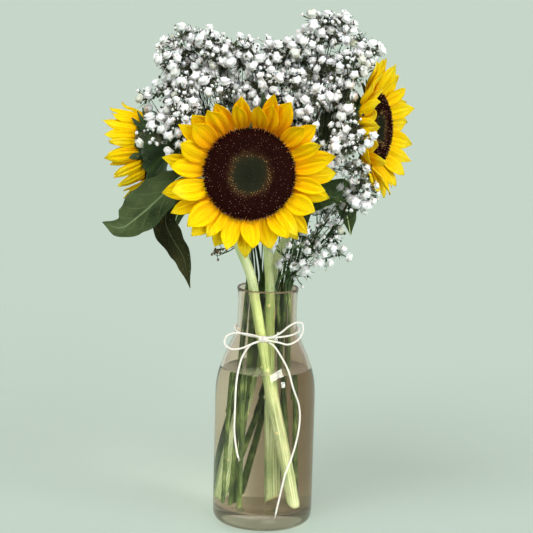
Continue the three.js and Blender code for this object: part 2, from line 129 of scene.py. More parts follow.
def smooth_line(points, steps):
    """Points at even steps of a smooth curve through the given ones."""
    ends = [2 * points[0] - points[1], *points, 2 * points[-1] - points[-2]]
    line = []
    for k in range(steps + 1):
        place = k * (len(points) - 1) / steps
        i = min(int(place), len(points) - 2)
        w = place - i
        a, b, c, d = ends[i:i + 4]
        before, here, after = ((q - p).length ** 0.5 for p, q in ((a, b), (b, c), (c, d)))
        leave = ((b - a) / before - (c - a) / (before + here) + (c - b) / here) * here
        reach = ((c - b) / here - (d - b) / (here + after) + (d - c) / after) * here
        bend = 3 * (c - b) - 2 * leave - reach
        twist = 2 * (b - c) + leave + reach
        line.append(b + leave * w + bend * w * w + twist * w ** 3)
    return line


def line_length(line):
    return sum((b - a).length for a, b in zip(line, line[1:]))


def way_at(line, i):
    """The direction of a line at its point number i."""
    return (line[min(i + 1, len(line) - 1)] - line[max(i - 1, 0)]).normalized()


def new_piece(name, verts, faces):
    """An object of the given corners and faces, with a UV map."""
    mesh = bpy.data.meshes.new(name)
    mesh.from_pydata(verts, [], faces)
    mesh.uv_layers.new(name="UVMap")
    piece = bpy.data.objects.new(name, mesh)
    bpy.context.scene.collection.objects.link(piece)
    return piece


def tube(name, line, sides, radius_at):
    """A closed tube along a line. radius_at(share, angle) gives its radius at a share of the way along it."""
    last = len(line) - 1
    side = Vector((0, 1, 0)).cross(way_at(line, 0))
    if side.length < 0.1:
        side = Vector((1, 0, 0)).cross(way_at(line, 0))
    verts, faces, marks = [], [], []
    for i, point in enumerate(line):
        way = way_at(line, i)
        side = (side - way * side.dot(way)).normalized()
        across = way.cross(side)
        for j in range(sides):
            angle = 2 * math.pi * j / sides
            out = side * math.cos(angle) + across * math.sin(angle)
            verts.append(point + out * radius_at(i / last, angle))
    for i in range(last):
        for j in range(sides):
            n = (j + 1) % sides
            faces.append((i * sides + j, i * sides + n, (i + 1) * sides + n, (i + 1) * sides + j))
            left, right, near, far = j / sides, (j + 1) / sides, i / last, (i + 1) / last
            marks += [(left, near), (right, near), (right, far), (left, far)]
    for end, order in ((0, -1), (last, 1)):
        faces.append(tuple(end * sides + j for j in range(sides))[::order])
        marks += [(0.5, end / last)] * sides
    piece = new_piece(name, verts, faces)
    piece.data.uv_layers[0].data.foreach_set("uv", np.array(marks, np.float32).ravel())
    piece.data.shade_smooth()
    return piece


def choose(piece):
    """Makes a piece the active one and the only one that is selected."""
    bpy.ops.object.select_all(action="DESELECT")
    piece.select_set(True)
    bpy.context.view_layer.objects.active = piece


def join(name, pieces):
    """One object of several, under a new name."""
    choose(pieces[0])
    for piece in pieces:
        piece.select_set(True)
    bpy.ops.object.join()
    pieces[0].name = name
    pieces[0].data.name = name
    return pieces[0]


def opaque(colour):
    """Three numbers become a colour without transparency. A socket stays as it is."""
    return colour if isinstance(colour, Socket) else (*colour, 1)


class Socket:
    """A value inside a material. Sums on it add Math nodes, and node() adds any other node."""

    def __init__(self, tree, output=None):
        self.tree = tree
        self.output = output

    def node(self, kind, settings=None, sockets=None, take=0):
        """A new node with its settings, then its sockets. What comes back is its output number take."""
        made = self.tree.nodes.new("ShaderNode" + kind)
        for name, value in (settings or {}).items():
            if name == "stops":
                while len(made.color_ramp.elements) < len(value):
                    made.color_ramp.elements.new(1)
                for stop, (place, colour) in zip(made.color_ramp.elements, value):
                    stop.position = place
                    stop.color = opaque(colour)
            else:
                setattr(made, name, value)
        self.feed(made.inputs, sockets or {})
        return Socket(self.tree, made.outputs[take])

    def feed(self, inputs, values):
        """Links each named input to a value inside the material, or sets it to a fixed one."""
        for name, value in values.items():
            if isinstance(value, Socket):
                self.tree.links.new(value.output, inputs[name])
            else:
                inputs[name].default_value = value

    def math(self, operation, *values):
        return self.node("Math", {"operation": operation}, dict(enumerate(values)))

    def __add__(self, other):
        return self.math("ADD", self, other)

    def __sub__(self, other):
        return self.math("SUBTRACT", self, other)

    def __rsub__(self, other):
        return self.math("SUBTRACT", other, self)

    def __mul__(self, other):
        return self.math("MULTIPLY", self, other)

    def __abs__(self):
        return self.math("ABSOLUTE", self)

    __radd__ = __add__
    __rmul__ = __mul__

    def waves(self):
        """A sine of the value, moved to go from 0 to 1."""
        return self.math("SINE", self) * 0.5 + 0.5

    def clamp(self, low, high):
        """0 below low, 1 above high, and smooth between them. High below low turns it round."""
        return self.node("MapRange", {"interpolation_type": "SMOOTHSTEP"},
                         {"Value": self, "From Min": low, "From Max": high})

    def toward(self, other, share):
        """The value moved to another one by a share of the difference."""
        return (other - self) * share + self

    def axis(self, number):
        return self.node("SeparateXYZ", None, {"Vector": self}, take=number)

    def place(self):
        """The object coordinates, in metres."""
        return self.node("TexCoord", take=3)

    def marks(self):
        """The UV map: across or round a piece first, then along it."""
        return self.node("TexCoord", take=2)

    def stored(self, name):
        """A number that the mesh holds at each corner."""
        return self.node("Attribute", {"attribute_name": name}, take=2)

    def noise(self, place, scale, detail=3.0, stretch=(1, 1, 1)):
        where = self.node("Mapping", None, {"Vector": place, "Scale": stretch})
        return self.node("TexNoise", None, {"Vector": where, "Scale": scale, "Detail": detail})

    def mix(self, share, first, second):
        colours = {"Factor": share, 6: opaque(first), 7: opaque(second)}
        return self.node("Mix", {"data_type": "RGBA"}, colours, take=2)

    def ramp(self, value, *stops):
        """Colours by value. Each stop is a value and its colour."""
        return self.node("ValToRGB", {"stops": stops}, {"Fac": value})

    def bump(self, height, strength, distance):
        """A bump whose distance is in millimetres."""
        return self.node("Bump", None, {"Height": height, "Strength": strength, "Distance": distance * MM})


def material(name, fixed):
    """A new material with fixed values on its shader. It returns both, and a first socket to start from."""
    finish = bpy.data.materials.new(name)
    finish.use_nodes = True
    shader = finish.node_tree.nodes["Principled BSDF"]
    paint = Socket(finish.node_tree)
    paint.feed(shader.inputs, fixed)
    return finish, shader, paint


def cotton():
    """Off-white cotton with fine fibres along it."""
    finish, shader, paint = material("cotton_twine", {"Sheen Weight": 0.35, "Sheen Roughness": 0.5})
    fibres = paint.noise(paint.marks(), 60.0, 4.0, (6, 40, 1))
    dust = paint.noise(paint.place(), 300.0)
    colour = paint.ramp(fibres * 0.7 + dust * 0.3, (0.3, (0.62, 0.56, 0.47)), (0.5, (0.85, 0.81, 0.74)),
                        (0.7, (0.93, 0.91, 0.87)))
    paint.feed(shader.inputs, {
        "Base Color": colour,
        "Roughness": 0.8 + fibres * 0.15,
        "Normal": paint.bump(fibres, 0.5, 0.15)})
    return finish


COTTON = cotton()


def glass_radius(height):
    """The bottle's outer radius at a height."""
    above = next(i for i, (_, z) in enumerate(GLASS_OUTSIDE) if z > height)
    (r0, z0), (r1, z1) = GLASS_OUTSIDE[above - 1:above + 1]
    return r0 + (r1 - r0) * (height - z0) / (z1 - z0)


def twine(name, line):
    """A length of twine: three plies laid round each other."""
    length = line_length(line)

    def radius(share, angle):
        turn = 1.5 * (angle - 2 * math.pi * share * length / (TWIST_PITCH * MM))
        taper = CUT_TAPER if share in (0, 1) else 1
        return TWINE_RADIUS * MM * taper * (1 - PLY_GROOVE * (1 - abs(math.cos(turn))))

    piece = tube(name, line, TWINE_SIDES, radius)
    piece.data.materials.append(COTTON)
    return piece


def tail(name, points, loose_fibres):
    """A free end of the twine on the glass, with the fibres at its cut."""
    route = []
    for across, drop in points:
        x, z = KNOT[0] + across, KNOT[2] + drop
        radius = glass_radius(z) + TWINE_RADIUS + CLEARANCE
        route.append(mm(x, -math.sqrt(radius * radius - x * x), z))
    line = smooth_line(route, 8 * (len(route) - 1))
    fine = smooth_line(line, 4 * (len(line) - 1))
    piece = twine("loose_" + name, fine)
    way = (line[-1] - line[-2]).normalized()
    start = line[-1] - way * 0.4 * MM
    fibres = []
    for k in range(loose_fibres):
        aside = stray(k, 40) * FIBRE_SPLAY
        middle = start + (way + aside * 0.4) * 1.3 * MM
        end = start + (way + aside) * (FIBRE_LENGTH + chance(k, 44)) * MM
        fibres.append(tube("fibre", [start, middle, end], 4,
                           lambda share, _: (FIBRE_RADIUS - FIBRE_TAPER * share) * MM))
    fray = join(name + "_fray", fibres)
    fray.data.materials.append(COTTON)
    for part in (piece, fray):
        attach(part, "root")
    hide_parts(name)
    length = line_length(fine)


tail("twine_tail_left", LEFT_TAIL, 7)
tail("twine_tail_right", RIGHT_TAIL, 9)

# Twine bow
# The same twine, once round the foot of the bottle's neck and tied in a bow: the collar, two loops and a knot
# of a few tight turns.
COLLAR_HEIGHT = 181
COLLAR_TILT = math.radians(4)
COLLAR_START = -92
COLLAR_STEPS = 144
LOOP_STEPS = 130
TURN_STEPS = 28
LEFT_LOOP = [
    (0, 0, 0.6), (-8, 1.2, 3), (-17, 2.6, 4.2), (-26, 3.4, 4.4), (-32, 3.6, 2.2), (-35, 3.2, -2.2),
    (-34, 1.8, -6.8), (-28.5, 0.2, -9.6), (-20, -1.6, -8.5), (-11.5, -1.6, -4.6), (0, 0, -0.6)]
RIGHT_LOOP = [
    (0, 0, -0.6), (6, -1.2, -1), (14, -1.2, -2.3), (21.6, 0, -4.2), (27.8, 1.4, -2.3), (33.2, 2.8, 2.3),
    (35.2, 3.6, 9.3), (34, 4, 14.7), (29.3, 3.4, 15.4), (23, 2.6, 12.3), (15.4, 1.4, 6.2), (9, 0.6, 2.6),
    (0, 0, 0.6)]
# Each turn of the knot: its place across, its size, and its lean.
KNOT_TURNS = [(-3.4, 2.2, 0.15), (-1.7, 2.8, -0.1), (0.1, 3.0, 0.1), (1.9, 2.8, -0.15), (3.5, 2.2, 0.2)]


def collar():
    """The line of the twine once round the neck, from behind the knot and back to it."""
    ring = glass_radius(COLLAR_HEIGHT) + TWINE_RADIUS + 3 * CLEARANCE
    line = []
    for k in range(COLLAR_STEPS + 1):
        angle = math.radians(360 * k / COLLAR_STEPS + COLLAR_START)
        back = ring * math.sin(angle)
        rise = back * math.sin(COLLAR_TILT)
        line.append(mm(ring * math.cos(angle), back * math.cos(COLLAR_TILT), COLLAR_HEIGHT + rise))
    return line


def knot_turn(across, size, lean):
    """The line of one tight turn: a squashed ring that moves on by half the twine's thickness."""
    line = []
    for k in range(TURN_STEPS + 1):
        angle = 2 * math.pi * k / TURN_STEPS
        x = across + lean * size * math.sin(angle) + TWINE_RADIUS * (k / TURN_STEPS - 0.5)
        line.append(mm(*KNOT) + mm(x, 0.8 * size * math.cos(angle), 0.75 * size * math.sin(angle)))
    return line


def bow():
    """The two loops, the collar and the knot, joined."""
    lines = []
    for loop in (LEFT_LOOP, RIGHT_LOOP):
        lines.append(smooth_line([mm(*KNOT) + mm(*point) for point in loop], LOOP_STEPS))
    lines.append(collar())
    lines += [knot_turn(*turn) for turn in KNOT_TURNS]
    return join("twine_bow_tied", [twine("strand", line) for line in lines])


tied_bow = bow()
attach(tied_bow, "root")
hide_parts("twine_bow")

# Bottle vase
# Blown glass with a faint warm tint: a thick floor, a rounded heel, a straight body, a sloped shoulder and a
# straight neck with a slightly flared, fire-polished rim.
VASE_SIDES = 36
HEEL_TOP = 15
RIM_FOOT = 218.6
VASE_PROFILE = [
    (4, 0.6), (22, 0.4), (34, 0), (39.5, 0.3), (43.8, 2.6), (45.8, 7), (46, 14), (46, 40), (46, 96),
    (46, 118), (45.6, 129), (44.2, 139), (41.2, 149.5), (36.6, 160.5), (31.6, 170.5), (28.3, 178.6),
    (27.1, 187), (27, 198), (27, 211), (27.3, 215.6), (28.2, 218.4), (28.1, 219.9), (26.9, 220.2),
    (25.6, 219.2), (24.4, 215.4), (24, 210), (24, 198), (24.1, 186), (25.4, 177.4), (28.7, 169.2),
    (33.6, 159.2), (38.1, 148.6), (41.2, 138.4), (42.6, 128.6), (43, 117), (43, 96), (43, 40), (43, 27),
    (42.4, 20.6), (39.6, 16.2), (34, 14.4), (22, 14), (4, 14)]
FULL_SHEEN = (1, 1, 1, 1)
WET_SHEEN = (0.15, 0.15, 0.15, 1)
# Each glass's tint at the left, at the right and in its clouds. The darker right tint of the wall and the
# heel is painted shade.
WALL_TINTS_AND_SHADE = (1.0, 0.885, 0.79), (0.38, 0.26, 0.17), (0.95, 0.84, 0.74)
HEEL_TINTS_AND_SHADE = (0.27, 0.265, 0.185), (0.23, 0.22, 0.145), (0.66, 0.68, 0.52)
RIM_TINTS = (0.42, 0.32, 0.2), (0.42, 0.32, 0.2), (0.5, 0.4, 0.27)


def turned(name, profile, sides, levels):
    """A body of revolution: a ring of edges is extruded from point to point of its profile, then smoothed."""
    wide, low = profile[0]
    bpy.ops.object.select_all(action="DESELECT")
    bpy.ops.mesh.primitive_circle_add(vertices=sides, radius=wide * MM, fill_type="NGON",
                                      location=(0, 0, low * MM))
    piece = bpy.context.object
    bpy.ops.object.transform_apply(location=True)
    bpy.ops.object.mode_set(mode="EDIT")
    bpy.ops.mesh.select_all(action="SELECT")
    bpy.ops.mesh.flip_normals()
    bpy.ops.mesh.select_mode(type="EDGE")
    bpy.ops.mesh.select_all(action="SELECT")
    bpy.ops.mesh.region_to_loop()
    for (old_wide, old_low), (new_wide, new_low) in zip(profile, profile[1:]):
        share = new_wide / old_wide
        bpy.ops.mesh.extrude_edges_move(TRANSFORM_OT_translate={"value": (0, 0, (new_low - old_low) * MM)})
        bpy.ops.transform.resize(value=(share, share, 1), center_override=(0, 0, new_low * MM))
    bpy.ops.mesh.edge_face_add()
    bpy.ops.mesh.select_all(action="SELECT")
    bpy.ops.mesh.normals_make_consistent(inside=False)
    bpy.ops.object.mode_set(mode="OBJECT")
    piece.name = name
    smoothing = piece.modifiers.new("smoothing", "SUBSURF")
    smoothing.levels = smoothing.render_levels = levels
    bpy.ops.object.modifier_apply(modifier=smoothing.name)
    # Smoothing draws a ring of few sides in a little, and this makes up for it.
    full = 6 / (4 + 2 * math.cos(2 * math.pi / sides))
    piece.data.transform(Matrix.Diagonal((full, full, 1, 1)))
    piece.data.shade_smooth()
    return piece


def clear_glass(name, through, sheen, tints_and_shade, painted_glint_share=0.0):
    """Glass that lets a share of the light through, with a tint at the left, at the right and in its clouds.

    The right tint is darker, and the change to it is painted shade: one side of the bottle is darker as if
    less light fell there. Most of it is in the far wall, so that what stands in the bottle keeps its own
    colours. Through the water only a narrow strip of that wall is seen, and the shade changes within that
    strip. Banded streaks deepen the painted shade, and short lighter glint streaks in the thick glass are
    painted light.
    """
    finish, shader, paint = material(name, {
        "Transmission Weight": through, "IOR": 1.32, "Specular Tint": sheen})
    left, right, cloudy = tints_and_shade
    place = paint.place()
    x, y, z = (place.axis(number) for number in range(3))
    # Painted shade: how far the tint moves to the darker right one, by side, by height and by near and far
    # wall.
    side = x.clamp(-0.034, 0.0)
    neck, filled, near = z.clamp(0.16, 0.19), z.clamp(0.15, 0.14), y.clamp(0.006, -0.006)
    far_shade_above_water = 0.1 + side * (0.5 + neck * 0.3)
    far_shade_below_water = x.clamp(-0.015, 0.0) * 0.9
    shade = far_shade_above_water.toward(far_shade_below_water, filled).toward(side * 0.35, near)
    haze = paint.noise(place, 14.0, 4.0)
    streaks = paint.noise(place, 30.0, 2.0, (1, 1, 0.25))
    # Painted shade in banded streaks that darken the tint.
    painted_shade_bands = paint.noise(place, 26.0, 2.0, (1, 1, 0.12)).clamp(0.48, 0.66)
    # Painted light: short lighter glint streaks, which show in the thick glass only.
    painted_glints = paint.noise(place, 38.0, 3.0, (1, 1, 3.5)).clamp(0.56, 0.66)
    tint = paint.mix(shade * (0.8 + painted_shade_bands * 0.2) + painted_shade_bands * 0.16, left, right)
    paint.feed(shader.inputs, {
        "Base Color": paint.mix(haze * 0.3 + painted_glints * painted_glint_share, tint, cloudy),
        "Roughness": 0.004 + haze.clamp(0.5, 0.9) * 0.02,
        "Normal": paint.bump(streaks, 0.016, 0.5)})
    return finish


vase = turned("bottle_vase", VASE_PROFILE, VASE_SIDES, 2)
vase.data.materials.append(clear_glass("clear_glass", 1.0, FULL_SHEEN, WALL_TINTS_AND_SHADE))
vase.data.materials.append(clear_glass("inner_glass", 1.0, WET_SHEEN, WALL_TINTS_AND_SHADE))
vase.data.materials.append(clear_glass("thick_glass", 0.8, FULL_SHEEN, HEEL_TINTS_AND_SHADE, 0.5))
vase.data.materials.append(clear_glass("rim_glass", 0.6, FULL_SHEEN, RIM_TINTS))
for face in vase.data.polygons:
    inside = face.normal.x * face.center.x + face.normal.y * face.center.y < 0
    low, high = face.center.z < HEEL_TOP * MM, face.center.z > RIM_FOOT * MM
    face.material_index = 2 if low else 3 if high else int(inside)
vase.visible_shadow = False
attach(vase, "root")
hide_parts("vase")

# Water
# Clear tap water up to the shoulder. It meets the glass all round, and its level surface climbs a little at
# the wall.
WATER_LEVEL = 144
WATER_PROFILE = [
    (4, 13.9), (22, 13.9), (34, 14.2), (39.7, 16), (42.5, 20.4), (43.1, 27), (43.1, 40), (43.1, 96),
    (43.1, 117), (42.7, 128.6), (41.5, 138), (39.9, 144.4), (39.3, 145.5), (38.6, 145.1), (37.4, 144.3),
    (34, WATER_LEVEL), (22, WATER_LEVEL), (4, WATER_LEVEL)]


def clear_water():
    """The water below its surface: clear, with a trace of green."""
    finish, shader, paint = material("clear_water", {
        "Transmission Weight": 1.0, "IOR": 1.33, "Specular Tint": WET_SHEEN})
    drift = paint.noise(paint.place(), 25.0, 2.0)
    paint.feed(shader.inputs, {
        "Base Color": paint.mix(drift, (0.92, 0.93, 0.87), (0.97, 0.97, 0.92)),
        "Roughness": 0.002 + drift * 0.004,
        "Normal": paint.bump(drift, 0.05, 0.4)})
    return finish


def water_skin():
    """The level surface, seen from above through the glass, with a thin film on it. It has painted shade at
    the left and painted light at the right.
    """
    finish, shader, paint = material("water_skin", {"Transmission Weight": 0.72, "IOR": 1.33})
    place = paint.place()
    film = paint.noise(place, 60.0, 4.0)
    side = place.axis(0).clamp(-0.035, 0.035)
    # Painted shade at the left and painted light at the right, and lighter in patches of the film.
    light = side * 0.75 + film.clamp(0.35, 0.65) * 0.25
    paint.feed(shader.inputs, {
        "Base Color": paint.mix(light, (0.44, 0.6, 0.43), (0.9, 1.0, 0.82)),
        "Roughness": 0.01 + film * 0.03,
        "Normal": paint.bump(film, 0.25, 0.5)})
    return finish


water = turned("vase_water", WATER_PROFILE, VASE_SIDES, 2)
water.data.materials.append(clear_water())
water.data.materials.append(water_skin())
for face in water.data.polygons:
    face.material_index = int(face.center.z > (WATER_LEVEL - 0.3) * MM and face.normal.z > 0.8)
water.visible_shadow = False
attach(water, "root")
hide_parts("water")

# Sunflower stems
# Thick green stalks, faintly ribbed and bristly, with the scars of leaves that were cut off. Each is cut
# slantwise at its foot, where the pale pith shows. It widens into the green cup behind its head, which bears
# the bracts.
STEM_FOOT = 17
NECK_POINT = 214
STEM_RADIUS = 4.3
STEM_FOOT_RADIUS = 5.3
STEM_SIDES = 28
CUT_HEIGHT = 4.6
SCAR_RADIUS = 2.1
SCAR_FACE = 5.4
CUP_DEPTH = 26
CUP_SIDES = 20
BRACT_LENGTH = 21
BRACT_HALF = 4.9
BRACT_SETBACK = 6
BRACT_DEPTH = 9.2
BRACT_THICKNESS = 0.6
BRISTLE_RADIUS = 0.09
# disc is the radius of the seed disc. A scar is a share of the way up the stem and an angle round it.
HEADS = [
    {
        "name": "front", "seed": 1, "disc": 38, "bracts": 10, "bract_angle": -20,
        "centre": (-19, -66, 330), "faces": (0.03, -0.985, 0.17), "foot": (7, 5), "neck": (2, -3),
        "over": [(1, -4, 232), (-3, -8, 272), (-12, -17, 312)],
        "scars": [(0.262, 3.6), (0.40, 5.2), (0.48, 4.5), (0.70, 4.2)],
    },
    {
        "name": "right", "seed": 2, "disc": 31, "bracts": 10, "bract_angle": -6,
        "centre": (93, 0, 367), "faces": (0.9, -0.42, 0.06), "foot": (-29, 11), "neck": (4, 9),
        "over": [(5, 10, 236), (15, 14, 262), (33, 19, 298), (50, 19, 340)],
        "scars": [(0.10, 4.4), (0.22, 5.6), (0.36, 3.9)],
    },
    {
        "name": "left", "seed": 3, "disc": 28, "bracts": 14, "bract_angle": 26,
        "centre": (-114, 12, 339), "faces": (-0.93, 0.27, -0.22), "foot": (25, -14), "neck": (-12, -11),
        "over": [(-16, -11, 232), (-29, -9, 262), (-47, -6, 298), (-64, -2, 325), (-77, 1, 340)],
        "scars": [(0.19, 4.3), (0.33, 4.9), (0.335, 3.6), (0.52, 4.6)],
    },
]


def head_frame(head):
    """A head's own frame: its middle, with +Z the way it faces."""
    face = Vector(head["faces"]).normalized()
    right = Vector((0, 0, 1)).cross(face).normalized()
    turn = Matrix((right, face.cross(right), face)).transposed().to_4x4()
    return Matrix.Translation(mm(*head["centre"])) @ turn


def stem_line(head):
    """A straight run from the foot to the vase's mouth, then a curve up to the back of the head."""
    place = head_frame(head)
    bend = [mm(*head["neck"], NECK_POINT), *(mm(*point) for point in head["over"]),
            place @ mm(0, 0, -CUP_DEPTH), place @ mm(0, 0, 12 - CUP_DEPTH)]
    foot = mm(*head["foot"], STEM_FOOT)
    straight = [foot.lerp(bend[0], k / 60) for k in range(60)]
    return straight + smooth_line(bend, 60)


def spoke(angle):
    """The level way out from an axis at an angle round it."""
    return Vector((math.cos(angle), math.sin(angle), 0))


def green_stalk():
    """Streaked green with specks, with painted light and shade by height: paler above the vase, darker in its
    neck and lighter in the water.
    """
    finish, shader, paint = material("green_stalk", {"Subsurface Weight": 0.08, "Subsurface Scale": 0.004})
    place = paint.place()
    streaks = paint.noise(paint.marks(), 8.0, 4.0, (9, 0.9, 1))
    patches = paint.noise(place, 28.0, 3.0)
    specks = paint.noise(place, 420.0, 2.0).clamp(0.66, 0.74)
    tone = streaks * 0.65 + patches * 0.35
    dry = paint.ramp(tone, (0.34, (0.34, 0.45, 0.15)), (0.45, (0.66, 0.77, 0.34)), (0.56, (0.87, 0.94, 0.53)),
                     (0.7, (0.95, 0.98, 0.66)))
    neck = paint.ramp(tone, (0.36, (0.06, 0.13, 0.025)), (0.46, (0.22, 0.37, 0.11)),
                      (0.55, (0.42, 0.62, 0.24)), (0.68, (0.64, 0.82, 0.42)))
    foot = paint.ramp(tone, (0.36, (0.09, 0.18, 0.06)), (0.46, (0.28, 0.42, 0.2)), (0.55, (0.52, 0.69, 0.43)),
                      (0.68, (0.74, 0.9, 0.66)))
    # Painted light and shade: the same green painted paler above the vase, darker in its neck and lighter in
    # the water.
    height = place.axis(2)
    above = paint.mix(height.clamp(0.235, 0.205), dry, neck)
    green = paint.mix(height.clamp(0.16, 0.1), above, foot)
    paint.feed(shader.inputs, {
        "Base Color": paint.mix(specks * 0.6, green, (0.2, 0.16, 0.06)),
        "Roughness": 0.42 + streaks * 0.25,
        "Normal": paint.bump(streaks + specks * 0.3, 0.4, 0.5)})
    return finish


def pale_pith():
    """The spongy cells of a cut end."""
    finish, shader, paint = material("pale_pith", {"Roughness": 0.7})
    cells = paint.node("TexVoronoi", None, {"Vector": paint.place(), "Scale": 900.0})
    paint.feed(shader.inputs, {
        "Base Color": paint.mix(cells, (0.78, 0.8, 0.5), (0.55, 0.6, 0.3)),
        "Normal": paint.bump(cells, 0.4, 0.3)})
    return finish


def green_bract():
    """Dark green, with fine ribs along each bract."""
    finish, shader, paint = material("green_bract", {"Subsurface Weight": 0.05, "Subsurface Scale": 0.003})
    ribs = (paint.marks().axis(0) * 44.0).waves()
    patches = paint.noise(paint.place(), 60.0)
    colour = paint.ramp(patches * 0.8 + ribs * 0.2, (0.3, (0.014, 0.032, 0.01)), (0.55, (0.04, 0.085, 0.022)),
                        (0.8, (0.1, 0.17, 0.045)))
    paint.feed(shader.inputs, {
        "Base Color": colour,
        "Roughness": 0.5 + patches * 0.25,
        "Normal": paint.bump(ribs + patches, 0.35, 0.4)})
    return finish


STALK, PITH, BRACT = green_stalk(), pale_pith(), green_bract()


def leaf_scar(line, share, angle):
    """The stub of a leaf that was cut off: a flattened green knob with pale pith at its end."""
    i = int(share * (len(line) - 1))
    way = (line[i + 1] - line[i]).normalized()
    out = spoke(angle)
    out = (out - way * out.dot(way)).normalized()
    bpy.ops.mesh.primitive_uv_sphere_add(segments=14, ring_count=9, radius=SCAR_RADIUS * MM)
    scar = bpy.context.object
    scar.data.transform(Matrix.Diagonal((1.0, 1.15, 0.75, 1)))
    scar.data.transform(out.to_track_quat("Z", "Y").to_matrix().to_4x4())
    scar.data.transform(Matrix.Translation(line[i] + out * STEM_RADIUS * 0.97 * MM))
    scar.data.shade_smooth()
    scar.data.materials.append(STALK)
    scar.data.materials.append(PITH)
    for face in scar.data.polygons:
        face.material_index = int((face.center - line[i]).dot(out) > SCAR_FACE * MM)
    return scar


def stalk(head):
    """The ribbed stalk with its leaf scars, cut slantwise at the foot."""
    line = stem_line(head)
    seed = head["seed"]

    def radius(share, angle):
        ribs = 0.03 * math.cos(6 * angle + 5 * share + seed) + 0.02 * math.cos(11 * angle - 7 * share)
        lumps = 0.05 * noise.noise(Vector((math.cos(angle), math.sin(angle), 30 * share + 9 * seed)))
        thick = STEM_RADIUS + (STEM_FOOT_RADIUS - STEM_RADIUS) * max(0, 1 - 2 * share)
        return thick * (1 + ribs + lumps) * MM

    piece = tube("stalk", line, STEM_SIDES, radius)
    piece.data.materials.append(STALK)
    piece.data.materials.append(PITH)
    choose(piece)
    way = (line[1] - line[0]).normalized()
    aside = Vector((math.cos(seed * 2), math.sin(seed * 2) - 0.6, 0))
    slant = (way + 0.9 * aside.normalized()).normalized()
    bpy.ops.object.mode_set(mode="EDIT")
    bpy.ops.mesh.select_all(action="SELECT")
    bpy.ops.mesh.bisect(plane_co=line[0] + way * CUT_HEIGHT * MM, plane_no=slant, use_fill=True,
                        clear_inner=True)
    piece.active_material_index = 1
    bpy.ops.object.material_slot_assign()
    bpy.ops.object.mode_set(mode="OBJECT")
    return join("stalk", [piece, *(leaf_scar(line, *scar) for scar in head["scars"])])


def cup(head):
    """The green cup: a body of revolution in the head's own frame, with shallow folds round it."""
    wide = head["disc"]
    profile = [
        (2, 0), (5.1, 0), (8.5, 5), (wide * 0.55, 10), (wide - 4, 15), (wide + 1.2, 19.6), (wide + 0.6, 21.2),
        (wide - 6, 21.2), (wide - 22, 21.2)]
    piece = turned("cup", [(radius, height - CUP_DEPTH) for radius, height in profile], CUP_SIDES, 1)
    for vert in piece.data.vertices:
        angle = math.atan2(vert.co.y, vert.co.x)
        vert.co.z += 0.5 * MM * math.sin(9 * angle) * min(1, vert.co.xy.length / (20 * MM))
    piece.data.transform(head_frame(head))
    piece.data.materials.append(BRACT)
    return piece


def bent_grid(columns, rows, place):
    """A sheet with its corners where place(u, t) says. u is -1 to 1 across it, and t is 0 to 1 along it."""
    bpy.ops.mesh.primitive_grid_add(x_subdivisions=columns, y_subdivisions=rows, size=2)
    piece = bpy.context.object
    for vert in piece.data.vertices:
        vert.co = place(vert.co.x, (vert.co.y + 1) / 2)
    return piece


def thicken(piece, thickness):
    """Gives the active piece, a sheet, a thickness with half of it to each side."""
    shell = piece.modifiers.new("thickness", "SOLIDIFY")
    shell.thickness = thickness * MM
    shell.offset = 0
    bpy.ops.object.modifier_apply(modifier=shell.name)
    piece.data.shade_smooth()


def bract(head, i):
    """One bract, bent outwards, with a midrib and a curled tip. Those of the second half fill the gaps."""
    extra = int(i >= head["bracts"])
    row = i % 2
    key = i + 50 * extra
    angle = 2 * math.pi * (i + 0.5 * extra + spread(key, 31, 0.3)) / head["bracts"]
    tilt = math.radians(head["bract_angle"] - 14 * row + spread(key, 32, 7) - 6 * extra)
    length = BRACT_LENGTH - 4 * row + spread(key, 33, 2.5) - 3 * extra
    curl = math.radians(spread(key, 34, 24) - 8)
    out = spoke(angle)
    across = Vector((out.y, -out.x, 0))

    def place(u, t):
        half = BRACT_HALF * (1 - t ** 1.6) ** 0.8 * (0.85 + 0.35 * t)
        bend = tilt + curl * t * t
        reach = head["disc"] - BRACT_SETBACK + length * t * math.cos(tilt + curl * t * t / 3)
        height = -BRACT_DEPTH - 1.6 * row + length * t * math.sin(tilt + curl * t * t / 3)
        over = 0.9 * abs(u) * (1 - t) - 0.5 * (1 - u * u)
        return (out * (reach - over * math.sin(bend)) + across * half * u
                + Vector((0, 0, height + over * math.cos(bend)))) * MM

    return bent_grid(4, 8, place)


def bracts(head):
    """The pointed green scales behind the petals."""
    piece = join("bracts", [bract(head, i) for i in range(2 * head["bracts"])])
    thicken(piece, BRACT_THICKNESS)
    piece.data.transform(head_frame(head))
    piece.data.materials.append(BRACT)
    return piece


def bristles(name, surface, count, length, seed, low):
    """Short stiff hairs that stand on a piece's faces above a height in metres, in the stalk's own finish."""
    faces = [face for face in surface.data.polygons if face.center.z > low and face.area > 1e-9]
    verts, shapes = [], []
    for k in range(count):
        face = faces[int(chance(k, seed) * len(faces))]
        corners = [surface.data.vertices[v].co for v in face.vertices]
        start = corners[0].lerp(corners[2 % len(corners)], chance(k, seed + 1))
        out = (face.normal + 0.5 * stray(k, seed + 2)).normalized()
        side = out.orthogonal().normalized() * BRISTLE_RADIUS * MM
        other = out.cross(side)
        tall = length * (0.6 + 0.8 * chance(k, seed + 5)) * MM
        first = len(verts)
        verts += [start + side, start - 0.5 * side + 0.87 * other, start - 0.5 * side - 0.87 * other,
                  start + out * tall]
        shapes += [(first, first + 1, first + 3), (first + 1, first + 2, first + 3),
                   (first + 2, first, first + 3), (first + 2, first + 1, first)]
    piece = new_piece(name, verts, shapes)
    piece.data.materials.append(STALK)
    return piece


